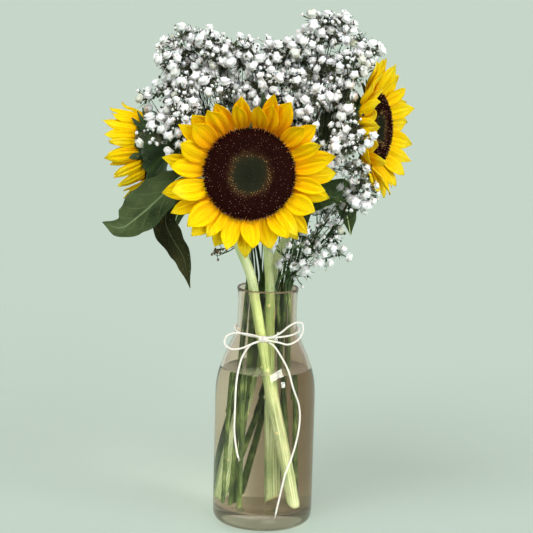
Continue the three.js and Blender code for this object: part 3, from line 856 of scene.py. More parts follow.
for head in HEADS:
    shaft = stalk(head)
    rough = bristles("bristles", shaft, 420, 1.3, 60 + head["seed"], 0.15)
    leafy = bracts(head)
    fringe = bristles("fringe", leafy, 500, 1.0, 80 + head["seed"], 0.0)
    stem = join("sunflower_%s_stalk" % head["name"], [shaft, cup(head), leafy, rough, fringe])
    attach(stem, "root")
    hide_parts("sunflower_%s_stem" % head["name"])

# Sunflower petals
# Two rows of soft ray petals round each disc: broad, pointed, finely ridged along their length, a little
# cupped and waved, deeper orange at the root. Each is one thin blade, bent up from the disc's edge.
PETAL_THICKNESS = 0.45
PETAL_COLUMNS, PETAL_ROWS = 12, 18
PETAL_INSET = 5
PETAL_DEPTH = 3.6
ROW_GAP = 1.3
HIDDEN_ROOT = 7.5
BEND_START, BEND_LENGTH = 5.5, 4
PETAL_WIDTHS = (
    [0, 0.08, 0.16, 0.26, 0.4, 0.52, 0.64, 0.75, 0.84, 0.91, 0.96, 1],
    [0.26, 0.45, 0.62, 0.78, 0.94, 1.0, 0.96, 0.83, 0.61, 0.36, 0.17, 0.01])
# Angles are in degrees. forward is how far each row is bent up, and lean is more of it towards lean_to. short
# is the share of their length that the lower petals lose. shade is painted light and shade: it makes all
# petals more orange, or more yellow where it is below 0. top_shade is painted shade that does so with the
# upper ones.
RAYS = {
    "front": {"count": 19, "length": 33.5, "short": 0.16, "width": 8.5, "forward": (6, 26), "curl": -14,
              "lean": 34, "lean_to": 90, "shade": 0, "top_shade": 1},
    "right": {"count": 17, "length": 30.5, "short": 0, "width": 7.6, "forward": (22, 38), "curl": -12,
              "lean": 34, "lean_to": 180, "shade": -0.3, "top_shade": 0},
    "left": {"count": 23, "length": 27, "short": 0, "width": 5.0, "forward": (61, 76), "curl": -6,
             "lean": 0, "lean_to": 0, "shade": -0.4, "top_shade": 0},
}


def yellow_petal():
    """Yellow that turns orange towards the root. Painted shade makes it orange along its folds, and the
    stored tone carries painted shade too.
    """
    finish, shader, paint = material("yellow_petal", {
        "Subsurface Weight": 0.2, "Subsurface Scale": 0.003, "Specular IOR Level": 0.05})
    marks = paint.marks()
    tone = paint.stored("tone")
    across, along = marks.axis(0), marks.axis(1)
    ridges = (across * 62.0).waves()
    streaks = paint.noise(marks, 7.0, 3.0, (7, 0.8, 1))
    cloud = paint.noise(paint.place(), 40.0, 2.0)
    edge = abs(across - 0.5).clamp(0.3, 0.5)
    warmth = along * 0.62 + tone * 0.36 + streaks * 0.22 + cloud * 0.1 - edge * 0.06
    yellow = paint.ramp(warmth, (0.18, (0.4, 0.1, 0.002)), (0.3, (0.8, 0.28, 0.001)),
                        (0.46, (0.98, 0.43, 0.001)), (0.66, (1.0, 0.59, 0.0005)), (0.9, (1.0, 0.7, 0.001)),
                        (1.0, (0.97, 0.74, 0.02)))
    # Painted shade: darker orange lines along the folds, strongest near the root.
    crease_shade = (across * 24.0 + streaks * 7.0 + tone * 9.0).waves().clamp(0.6, 1.0)
    orange = ridges * 0.18 + crease_shade * (1.1 - along) * 0.3
    paint.feed(shader.inputs, {
        "Base Color": paint.mix(orange, yellow, (0.8, 0.27, 0.001)),
        "Roughness": 0.55 + streaks * 0.2,
        "Normal": paint.bump(ridges * 0.6 + streaks - crease_shade * 0.5, 0.75, 0.5)})
    return finish


YELLOW = yellow_petal()


def store(piece, name, values):
    """Gives a piece one number for each corner, for its material to read."""
    layer = piece.data.attributes.new(name, "FLOAT", "POINT")
    layer.data.foreach_set("value", np.array(values, np.float32))


def petal_arc(start, turn, tip, length):
    """How far out and up a petal has come at even steps along it, and its slope there."""
    whole = length + HIDDEN_ROOT
    reach, rise, slope = [0.0], [0.0], []
    for k in range(PETAL_ROWS + 1):
        passed = whole * k / PETAL_ROWS
        x = max(0, (passed - HIDDEN_ROOT) / length)
        bent = min(1, max(0, (passed - BEND_START) / BEND_LENGTH))
        bend = (start + turn * x) * bent + tip * max(0, x - 0.5) ** 2 * 3
        slope.append(bend)
        reach.append(reach[-1] + whole / PETAL_ROWS * math.cos(bend))
        rise.append(rise[-1] + whole / PETAL_ROWS * math.sin(bend))
    return reach, rise, slope


def petal(head, rays, i, row):
    """One petal in its head's frame, bent along an arc, folded along its middle and waved."""
    key = head["seed"] * 100 + row * 40 + i
    angle = 2 * math.pi * (i + 0.5 * row + spread(key, 1, 0.3)) / rays["count"]
    lean = rays["lean"] * max(0, math.cos(angle - math.radians(rays["lean_to"])))
    start = math.radians(rays["forward"][row] + lean + spread(key, 2, 7))
    turn = math.radians(rays["curl"] + spread(key, 3, 11))
    shorter = 1 - rays["short"] * max(0, -math.sin(angle))
    length = rays["length"] * (1.04 - 0.1 * row) * shorter + spread(key, 4, 4.2)
    half = rays["width"] * (1 + spread(key, 5, 0.22))
    twist, sway = spread(key, 6, 0.42), spread(key, 8, 3.4)
    cupped, ripple = 1.2 + spread(key, 7, 1.6), 6.3 * chance(key, 9)
    crease, keel = 1.3 + 2.0 * chance(key, 10), spread(key, 13, 1.9) - 0.6
    tip = math.radians(spread(key, 11, 52) - 4)
    reach, rise, slope = petal_arc(start, turn, tip, length)
    out = spoke(angle)
    across = Vector((out.y, -out.x, 0))

    def place(u, t):
        k = round(t * PETAL_ROWS)
        width = half * float(np.interp(t, *PETAL_WIDTHS)) * u
        body = math.sin(math.pi * min(1, t * 1.08))
        groove = crease * (math.cos(7.5 * u + 0.8 * math.sin(ripple)) - 1) * 0.5
        folds = (groove + keel * (abs(u) - 0.4)) * body
        ruffle = 0.9 * u * u * math.sin(10 * t + ripple + 2 * u) * t
        over = cupped * u * u * math.sin(math.pi * t) + twist * width * t + folds + ruffle
        forward = head["disc"] - PETAL_INSET + reach[k] - over * math.sin(slope[k])
        height = -PETAL_DEPTH + ROW_GAP * row + rise[k] + over * math.cos(slope[k])
        return (out * forward + across * (width + sway * t * t) + Vector((0, 0, height))) * MM

    piece = bent_grid(PETAL_COLUMNS, PETAL_ROWS, place)
    # Painted light and shade: high above 0 turns the petal more orange, and below 0 more yellow. The rest of
    # the tone is the petal's own.
    high = rays["shade"] + rays["top_shade"] * max(0, math.sin(angle))
    store(piece, "tone", [0.45 + 0.55 * chance(key, 12) - 0.6 * high] * len(piece.data.vertices))
    return piece


for head in HEADS:
    plan = RAYS[head["name"]]
    petals = [petal(head, plan, i, row) for row in (0, 1) for i in range(plan["count"])]
    rays = join("sunflower_%s_rays" % head["name"], petals)
    rays.data.transform(head_frame(head))
    thicken(rays, PETAL_THICKNESS)
    rays.data.materials.append(YELLOW)
    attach(rays, "root")
    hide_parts("sunflower_%s_petals" % head["name"])

# Seed discs
# A low dome packed with tiny florets in spirals. The outer ones are open and maroon-brown, a ring of them
# sheds golden pollen, and those in the sunken middle are still green-black buds.
GOLDEN_ANGLE = 2.39996
FLORET_PITCH = 1.22
EDGE_FLORETS_PER_MM = 12
DOME_SIDES = 24
BUD_RADII = (0.72, 0.3)
BUD_HEIGHT = 1
BUD_DENT = 0.2
BUD_WALL = 0.12
MIDDLE_SHARE = 0.42


def packed_florets():
    """Colours by zone, the share of the way to the disc's edge, and by tone, each floret's own number."""
    finish, shader, paint = material("packed_florets", {"Specular IOR Level": 0.02})
    zone, tone, place = paint.stored("zone"), paint.stored("tone"), paint.place()
    grain = paint.noise(place, 900.0, 2.0)
    drift = paint.noise(place, 70.0, 2.0)
    flecks = paint.noise(place, 260.0, 2.0)
    ragged = zone + (drift - 0.5) * 0.24 + (flecks - 0.5) * 0.22
    colour = paint.ramp(ragged, (0.0, (0.01, 0.014, 0.008)), (0.36, (0.016, 0.02, 0.01)),
                        (0.44, (0.045, 0.028, 0.012)), (0.51, (0.035, 0.013, 0.007)),
                        (0.6, (0.018, 0.0038, 0.003)), (1.0, (0.02, 0.0038, 0.003)))
    pollen = tone.clamp(0.2, 0.6) * ragged.clamp(0.35, 0.42) * ragged.clamp(0.56, 0.48)
    dusted = tone.clamp(0.55, 0.85) * zone.clamp(0.34, 0.5)
    buds = tone.clamp(0.5, 0.9) * zone.clamp(0.42, 0.34)
    specked = paint.mix(dusted * 0.75, colour, (0.46, 0.27, 0.18))
    ringed = paint.mix(pollen * 0.95, specked, (0.5, 0.3, 0.11))
    warm = paint.mix(buds * 0.55, ringed, (0.09, 0.1, 0.055))
    paint.feed(shader.inputs, {
        "Base Color": paint.mix(grain * 0.16, warm, (0.05, 0.018, 0.01)),
        "Roughness": 0.6 + grain * 0.35,
        "Normal": paint.bump(grain, 0.4, 0.2)})
    return finish


PACKED = packed_florets()


def model_bud():
    """The corners and faces of one disc floret: a short tapered cone of five sides with a dent in its top."""
    bottom, top = BUD_RADII
    bpy.ops.mesh.primitive_cone_add(vertices=5, radius1=bottom * MM, radius2=top * MM, depth=BUD_HEIGHT * MM)
    bud = bpy.context.object
    bpy.ops.object.mode_set(mode="EDIT")
    bpy.ops.mesh.select_all(action="DESELECT")
    bpy.ops.mesh.select_mode(type="FACE")
    shape = bmesh.from_edit_mesh(bud.data)
    for face in shape.faces:
        face.select = face.normal.z > 0.9
    bmesh.update_edit_mesh(bud.data)
    bpy.ops.mesh.inset(thickness=BUD_WALL * MM, depth=-BUD_DENT * MM)
    bpy.ops.object.mode_set(mode="OBJECT")
    points = np.array([vert.co for vert in bud.data.vertices])
    sides = [tuple(face.vertices) for face in bud.data.polygons]
    bpy.data.objects.remove(bud)
    return points, sides


BUD_POINTS, BUD_SIDES = model_bud()


def disc_florets(head, skin):
    """The florets in spirals over a dome, then a ragged ring of open ones round its edge."""
    wide = head["disc"]
    inner = int(((wide + 0.6) / FLORET_PITCH) ** 2)
    verts, faces, zones, tones = [], [], [], []
    for n in range(inner + EDGE_FLORETS_PER_MM * wide):
        outer = n >= inner
        radius = wide + 0.9 if outer else FLORET_PITCH * math.sqrt(n + 0.5)
        angle = GOLDEN_ANGLE * n + head["seed"]
        share = radius / wide
        above = mm(radius * math.cos(angle), radius * math.sin(angle), 30)
        hit, normal, _, _ = skin.ray_cast(above, Vector((0, 0, -1)))
        if outer or hit is None:
            rim = wide - 0.3 + spread(n, 76, 0.9)
            hit = mm(rim * math.cos(angle), rim * math.sin(angle), 0.6 + spread(n, 77, 0.8))
            normal = Vector((math.cos(angle), math.sin(angle), 0.25 + 0.7 * chance(n, 78))).normalized()
        if outer:
            tall, broad = 2.6 + 1.5 * chance(n, 75), 0.6
        else:
            opened = 1.7 * min(1, max(0, share - MIDDLE_SHARE) * 6)
            tall = 1.0 + opened + spread(n, 71, 0.35) + 0.5 * max(0, share - 0.9) * 10
            broad = 0.9 if share < MIDDLE_SHARE else 0.78 + 0.3 * chance(n, 72)
        inward = 0.35 if share < 0.5 else -0.12
        turn = (normal + stray(n, 73, 0.16) + -spoke(angle) * inward).to_track_quat("Z", "Y").to_matrix()
        placed = BUD_POINTS * (broad, broad, tall) + (0, 0, tall * 0.5 * MM - 0.25 * MM)
        first = len(verts)
        verts += [hit + turn @ Vector(point) for point in placed]
        faces += [tuple(first + v for v in side) for side in BUD_SIDES]
        zones += [min(1, share)] * len(BUD_POINTS)
        tones += [chance(n, 79) if point[2] > 0 else 0.0 for point in BUD_POINTS]
    piece = new_piece("florets", verts, faces)
    store(piece, "zone", zones)
    store(piece, "tone", tones)
    return piece


def seed_disc(head):
    """The dome and its florets."""
    wide = head["disc"]
    profile = [
        (2, -4.4), (wide - 10, -4.4), (wide - 9.6, -0.9), (wide - 0.4, -0.9), (wide + 0.4, 0.4),
        (wide - 3.5, 3.8), (wide * 0.74, 5.6), (wide * 0.56, 5.8), (wide * 0.38, 4.2), (wide * 0.2, 3.4),
        (2.5, 3.4)]
    dome = turned("dome", profile, DOME_SIDES, 1)
    corners = dome.data.vertices
    packed = disc_florets(head, BVHTree.FromObject(dome, bpy.context.evaluated_depsgraph_get()))
    store(dome, "zone", [min(1, vert.co.xy.length / (wide * MM)) for vert in corners])
    store(dome, "tone", [0.0] * len(corners))
    piece = join("sunflower_%s_seeds" % head["name"], [dome, packed])
    piece.data.transform(head_frame(head))
    piece.data.materials.append(PACKED)
    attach(piece, "root")
    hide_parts("sunflower_%s_disc" % head["name"])


for head in HEADS:
    seed_disc(head)

# Leaves
# Broad heart-shaped sunflower leaves on short stalks, rough, toothed and waved at the edge, with a pale
# midrib and side veins that run forward to the edge. They have begun to droop.
LEAF_THICKNESS = 0.5
LEAF_COLUMNS, LEAF_ROWS = 16, 40
LEAF_SHAPE = (
    [0, 0.1, 0.17, 0.22, 0.28, 0.34, 0.42, 0.5, 0.58, 0.67, 0.76, 0.84, 0.91, 0.96, 1],
    [0.08, 0.09, 0.12, 0.36, 0.66, 0.84, 0.96, 1.0, 0.95, 0.81, 0.61, 0.4, 0.22, 0.1, 0.01])
# Each leaf: its name, half its width, the way its upper face looks, its seed, two greens and its midrib.
LEAVES = [
    ("left_large", 20, (-0.25, -0.85, 0.46), 11, (0.018, 0.033, 0.011), (0.08, 0.12, 0.044),
     [(-60, -8, 316), (-80, -23, 321), (-96, -30, 305), (-118, -36, 285), (-132, -38, 276),
      (-148, -38, 281)]),
    ("left_hanging", 13, (-0.5, -0.84, 0.1), 12, (0.012, 0.014, 0.004), (0.042, 0.048, 0.013),
     [(-43, -10, 286), (-66, -16, 303), (-88, -19, 298), (-93, -20, 280), (-86, -21, 264), (-77, -22, 250),
      (-73, -24, 236), (-70, -24, 221)]),
    ("left_small", 12, (-0.1, -0.9, 0.4), 13, (0.014, 0.026, 0.009), (0.05, 0.08, 0.026),
     [(-70, -4, 331), (-74, -14, 344), (-84, -23, 346), (-95, -28, 334)]),
    ("right_low", 17, (0.1, -0.8, 0.6), 14, (0.012, 0.028, 0.008), (0.045, 0.088, 0.024),
     [(0, -12, 276), (18, -24, 295), (36, -30, 305), (52, -33, 308), (65, -33, 306)]),
    ("front_upper", 13, (0.1, -1, 0.1), 15, (0.014, 0.028, 0.009), (0.045, 0.08, 0.024),
     [(-11, -17, 298), (-2, -14, 322), (-2, -16, 350), (-6, -22, 376), (-9, -28, 398)]),
    ("right_upper", 11, (-0.2, -0.95, 0.2), 16, (0.01, 0.022, 0.009), (0.035, 0.065, 0.024),
     [(48, 15, 334), (50, 5, 352), (54, 1, 372), (62, 0, 392), (70, 0, 410)]),
    ("back_right", 19, (0.3, 0.8, 0.5), 17, (0.018, 0.035, 0.011), (0.072, 0.115, 0.038),
     [(29, 24, 288), (46, 42, 302), (60, 58, 300), (72, 70, 282), (78, 76, 258)]),
    ("back_left", 18, (-0.4, 0.8, 0.45), 18, (0.018, 0.035, 0.011), (0.072, 0.115, 0.038),
     [(-38, -2, 278), (-56, 16, 296), (-74, 32, 296), (-86, 46, 278), (-92, 52, 254)]),
]


def leaf_green(name, low, high):
    """Two greens in patches, with a paler midrib, side veins, a net of small veins and a few brown spots."""
    finish, shader, paint = material(name, {
        "Subsurface Weight": 0.04, "Subsurface Scale": 0.003, "Specular IOR Level": 0.08})
    place, marks = paint.place(), paint.marks()
    side = abs(marks.axis(0) * 2.0 - 1.0)
    along = marks.axis(1)
    wander = paint.noise(place, 35.0, 2.0)
    patches = paint.noise(place, 45.0, 4.0)
    spots = paint.noise(place, 190.0, 2.0).clamp(0.62, 0.75)
    midrib = side.clamp(0.07, 0.015)
    rows = along * 8.0 - side * 2.3 + side * side * 0.9 + wander * 0.5
    veins = rows.math("PINGPONG", rows, 0.5).clamp(0.05, 0.01) * along.clamp(0.2, 0.3) * side.clamp(1.0, 0.3)
    cells = paint.node("TexVoronoi", {"feature": "DISTANCE_TO_EDGE"}, {"Vector": place, "Scale": 330.0})
    net = cells.clamp(0.1, 0.0)
    lines = midrib * 0.8 + veins * 0.3
    colour = paint.ramp(patches * 0.6 + wander * 0.4, (0.34, low), (0.66, high))
    spotted = paint.mix(spots * 0.35, paint.mix(net * 0.22, colour, high), (0.11, 0.085, 0.035))
    pale = tuple(0.05 + 2.4 * value for value in high)
    paint.feed(shader.inputs, {
        "Base Color": paint.mix(lines * 0.7, spotted, pale),
        "Roughness": 0.5 + patches * 0.25,
        "Normal": paint.bump(patches * 0.7 + net * 0.25 - lines * 0.8, 0.6, 0.8)})
    return finish


def leaf(name, half, faces, seed, low, high, midrib):
    """A blade that follows its midrib, thickened, with the stalk and midrib as a tapered rod under it."""
    line = smooth_line([mm(*point) for point in midrib], LEAF_ROWS)
    ways = []
    for k in range(len(line)):
        along = way_at(line, k)
        across = along.cross(Vector(faces)).normalized()
        ways.append((across, across.cross(along)))

    def place(u, t):
        k = round(t * LEAF_ROWS)
        across, upper = ways[k]
        tooth = 1 + 0.05 * math.sin(40 * t + seed) * max(0, abs(u) - 0.8) * 5
        width = max(half * float(np.interp(t, *LEAF_SHAPE)) * tooth, 1.2 * (1 - t))
        wave = 1.3 * math.sin(9 * t + seed) * abs(u) + 1.1 * math.sin(17 * t + 2 * seed + 2 * u) * u * u
        quilt = 0.5 * math.cos(2 * math.pi * (9 * t - 1.2 * abs(u))) * math.sin(math.pi * abs(u))
        trough = 0.3 * width * u * u + (wave + quilt) * min(1, 3 * t) * min(1, 5 * (1 - t))
        return line[k] + across * width * u * MM + upper * trough * MM

    blade = bent_grid(LEAF_COLUMNS, LEAF_ROWS, place)
    thicken(blade, LEAF_THICKNESS)
    blade.data.materials.append(leaf_green("leaf_%s_green" % name, low, high))
    under = [point - upper * LEAF_THICKNESS * MM for point, (_, upper) in zip(line, ways)]

    def radius(share, _):
        return (0.35 + 1.25 * max(0, 1 - 3.2 * share) + 0.35 * (1 - share)) * MM

    rib = tube("midrib", under, 10, radius)
    rib.data.materials.append(STALK)
    down = bristles("down", blade, 260, 0.7, 100 + seed, 0.0)
    made = join("sunflower_leaf_" + name, [blade, rib, down])
    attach(made, "root")
    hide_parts("leaf_" + name)


for plan in LEAVES:
    leaf(*plan)

# Baby's breath
# Eleven sprays of double white baby's breath. Each has a wiry green stem that forks again and again into
# hair-thin twigs. They bear small ruffled white florets and some closed buds, and the stem a few leaves.
SPRAY_FOOT = 19
SPRAY_STEM_RADIUS = 1.5
SPRAY_FOOT_RADIUS = 2.1
SPRAY_TOP_RADIUS = 0.5
BEAD_RADIUS = 6.6
FLORET_SIZE, FLORET_SIZE_RANGE = 3.1, 1.8
SMALL_FLORET = 1.7
FLORET_GAP = 7.8
SMALL_GAP = 4.6
BUD_SIZE, BUD_SIZE_RANGE = 0.8, 0.7
DRY_BUD = 1.3
CELL = 8
LEAFY_HEIGHT = 262
# The radius of each kind of twig at its root and at its tip. A floret's stalk widens into the floret's cup.
SIDE_STEM, BRANCH, LOW_BRANCH = (0.95, 0.5), (0.55, 0.42), (0.5, 0.34)
FLORET_STALK, BARE_TWIG = (0.3, 0.9), (0.34, 0.18)
DRY_TWIG, DRY_TIP = (0.5, 0.36), (0.34, 0.26)
# Each spray: its name, its place in the vase's mouth, its foot, points on its way up, its middle, its height,
# and how many florets and twigs fan out at each bead.
SPRAYS = [
    ("left_top", (-8, 19), (-26, -19), [(-22, 24, 290), (-54, 24, 356)], (-83, 18, 418), 28, 10, 26),
    ("left", (-20, 4), (-32, -14), [(-40, 12, 290), (-64, 18, 334)], (-90, 12, 380), 24, 10, 26),
    ("middle_left", (-14, 13), (-19, -27), [(-22, 13, 290), (-36, 12, 346)], (-48, 4, 417), 32, 10, 26),
    ("middle", (-5, 9), (-20, -8), [(-3, 12, 290), (-4, 12, 346)], (0, 4, 418), 33, 10, 26),
    ("right_top", (8, 20), (-30, 22), [(16, 24, 290), (29, 20, 364)], (42, 12, 436), 36, 10, 26),
    ("right", (20, 6), (-22, 22), [(36, -4, 290), (50, -12, 346)], (65, -10, 407), 32, 10, 26),
    ("right_middle", (20, -2), (22, 4), [(28, -10, 276), (36, -14, 320)], (52, -14, 346), 34, 10, 26),
    ("right_front", (9, -17), (18, 10), [(40, -18, 258), (68, -16, 290)], (80, -22, 322), 26, 8, 12),
    ("right_low", (16, -9), (8, 18), [(27, -13, 240)], (42, -15, 270), 32, 5, 8),
    ("back", (0, 20), (-37, 7), [(-4, 38, 290), (-10, 48, 350)], (-16, 52, 384), 32, 10, 26),
    ("back_low", (15, 15), (-12, 28), [(24, 36, 270), (32, 52, 320)], (36, 58, 362), 32, 10, 26),
]
# More places that bear florets, beside the beads of a spray's solid.
SIDE_SHOOTS = {
    "left_top": [(-66, 18, 443), (-76, 18, 446), (-57, 18, 438), (-92, 16, 438), (-98, 14, 428)],
    "middle_left": [(-34, 4, 437), (-22, 4, 436), (-30, -4, 420)],
    "left": [(-92, -30, 362), (-80, -34, 370), (-72, -30, 356), (-98, -30, 354), (-84, -31, 350),
             (-106, -27, 366), (-88, -26, 380), (-70, -26, 382), (-76, -20, 396), (-112, -25, 359)],
    "middle": [(-20, 0, 402), (-16, 4, 392), (-8, 4, 437), (10, 4, 437), (14, 2, 434), (22, 8, 418),
               (20, -6, 400), (4, -8, 394), (-24, -10, 396), (24, 10, 440), (-24, 8, 438), (-12, -6, 408),
               (0, -8, 412), (12, -10, 404), (-6, -18, 390), (10, -20, 388), (24, -20, 386)],
    "right": [(34, -18, 392), (30, -24, 374), (38, 2, 416), (68, -34, 384), (78, -40, 368), (84, -44, 356),
              (58, -34, 366), (84, -4, 424), (80, 2, 436), (30, -8, 410), (38, -14, 400), (44, -6, 388)],
    "right_top": [(66, 6, 432), (56, 8, 430), (92, 10, 434), (34, 12, 452), (30, 12, 441), (82, 10, 441),
                  (24, 10, 426), (74, 8, 446)],
    "right_middle": [(66, -42, 352), (58, -40, 336), (80, -44, 334), (36, -34, 356), (60, -54, 350),
                     (70, -62, 356), (80, -63, 362)],
    "right_front": [(88, -34, 318), (86, -30, 306), (74, -34, 318)],
    "right_low": [(22, -26, 262), (28, -20, 248), (38, -24, 256), (18, -22, 246), (34, -20, 238),
                  (12, -22, 256), (26, -12, 232)],
}
# The tips of a few withered twigs low on the left spray.
DRY_SPRIG = [(-50, 2, 252), (-47, 5, 246), (-45, 2, 257), (-42, 4, 249), (-46, 8, 252)]
# The height, width and ruffle of each ring of a floret's corners, in shares of its radius.
FLORET_RINGS = [(0.56, 0, 0), (0.84, 0.42, 0.1), (0.5, 0.9, 0.2), (0.14, 0.66, 0), (-0.14, 1.08, 0.24),
                (-0.64, 0.6, 0), (-0.9, 0, 0)]
# The rings that get painted shade: the top dimple and the groove between the ruffles.
SHADED_RINGS = (0, 3)


def white_floret():
    """White, with painted shade in the folds, the top dimple and the groove. A high tone makes it greenish,
    and the highest one brown.
    """
    finish, shader, paint = material("white_floret", {
        "Subsurface Weight": 0.1, "Subsurface Scale": 0.0015, "Specular IOR Level": 0.2})
    crumple_and_fold_shade = paint.noise(paint.place(), 650.0, 2.0)
    colour = paint.ramp(paint.stored("tone"), (0.0, (1.0, 1.0, 1.0)), (0.8, (0.97, 0.975, 0.98)),
                        (0.92, (0.84, 0.85, 0.82)), (0.97, (0.66, 0.68, 0.52)), (1.0, (0.2, 0.13, 0.06)))
    # Painted shade: grey where the crumple is low, as in shaded folds.
    folds = paint.mix(crumple_and_fold_shade.clamp(0.42, 0.24), colour, (0.5, 0.52, 0.52))
    paint.feed(shader.inputs, {
        "Base Color": paint.mix(paint.stored("hollow") * 0.42, folds, (0.46, 0.5, 0.42)),
        "Roughness": 0.7 + crumple_and_fold_shade * 0.2,
        "Normal": paint.bump(crumple_and_fold_shade, 0.6, 0.5)})
    return finish


def wiry_twig():
    """Green in the vase and at its mouth, duller and greyer above. Above it is also darker, in part as
    painted shade for the inside of the cloud of florets.
    """
    finish, shader, paint = material("wiry_twig", {"Specular IOR Level": 0.3})
    place = paint.place()
    patches = paint.noise(place, 60.0, 3.0)
    wet = paint.ramp(patches, (0.34, (0.01, 0.028, 0.006)), (0.47, (0.03, 0.066, 0.014)),
                     (0.6, (0.075, 0.135, 0.036)), (0.72, (0.17, 0.25, 0.09)))
    # Painted shade in part: the dry twigs are kept dark, so that the inside of the cloud reads as shaded.
    dry = paint.ramp(patches, (0.3, (0.018, 0.027, 0.009)), (0.5, (0.04, 0.052, 0.02)),
                     (0.7, (0.12, 0.12, 0.065)))
    paint.feed(shader.inputs, {
        "Base Color": paint.mix(place.axis(2).clamp(0.24, 0.34), wet, dry),
        "Roughness": 0.55 + patches * 0.3,
        "Normal": paint.bump(patches, 0.3, 0.3)})
    return finish


SPRAY_FINISHES = (white_floret(), wiry_twig(), PITH)
WHITE, GREEN, PALE = range(3)


def model_floret():
    """The corners and faces of a double floret, and the painted shade at each corner.

    It is a ball of ten sides and seven rings, drawn into an upper ruffle, a groove and a wider lower ruffle.
    The top dimple and the groove get painted shade.
    """
    bpy.ops.object.select_all(action="DESELECT")
    bpy.ops.mesh.primitive_uv_sphere_add(segments=10, ring_count=6, radius=1)
    piece = bpy.context.object
    hollow_shades = []
    for vert in piece.data.vertices:
        ring = round(math.degrees(math.acos(max(-1, min(1, vert.co.z)))) / 30)
        side = round(math.degrees(math.atan2(vert.co.y, vert.co.x)) / 36)
        height, wide, ruffle = FLORET_RINGS[ring]
        ruffle = ruffle * (1 if (side + ring) % 2 else -1) * (0.35 + 1.1 * chance(side + 5, ring + 7))
        way = vert.co.xy.normalized() if wide else vert.co.xy
        vert.co.xy = way * (wide + ruffle * (ring > 1))
        vert.co.z = height + 0.8 * ruffle
        hollow_shades.append(1.0 if ring in SHADED_RINGS else 0.0)
    points = np.array([vert.co for vert in piece.data.vertices])
    sides = [tuple(face.vertices) for face in piece.data.polygons]
    bpy.data.objects.remove(piece)
    return points, sides, hollow_shades


def bead_centres(node):
    """The middles of the beads on a spray's solid: two pairs of corners, a bead apart, share each of them."""
    mesh = bmesh.new()
    mesh.from_mesh(frame["nodes"][node].data)
    bmesh.ops.remove_doubles(mesh, verts=mesh.verts, dist=0.02 * MM)
    points = np.array([vert.co for vert in mesh.verts])
    mesh.free()
    gaps = np.linalg.norm(points[:, None] - points[None], axis=2)
    first, second = np.nonzero(np.triu(abs(gaps - 2 * BEAD_RADIUS * MM) < 0.05 * MM))
    middles = (points[first] + points[second]) / 2
    found = []
    for middle in middles:
        near = np.linalg.norm(middles - middle, axis=1) < 0.05 * MM
        if near.sum() > 1 and not any((Vector(middle) - other).length < 2 * MM for other in found):
            found.append(Vector(middle))
    return found


FLORET_POINTS, FLORET_SIDES, FLORET_HOLLOW_SHADES = model_floret()
CLOSED_BUD_POINTS = [(0, 0, 1.4), (1, 0, 0), (0, 1, 0), (-1, 0, 0), (0, -1, 0), (0, 0, -1.2)]
CLOSED_BUD_SIDES = [(0, 1, 2), (0, 2, 3), (0, 3, 4), (0, 4, 1), (5, 2, 1), (5, 3, 2), (5, 4, 3), (5, 1, 4)]
NARROW_LEAF_SIDES = [(0, 2, 1), (0, 3, 2), (1, 2, 4), (2, 3, 4), (0, 1, 5), (1, 4, 5), (0, 5, 3), (5, 4, 3)]


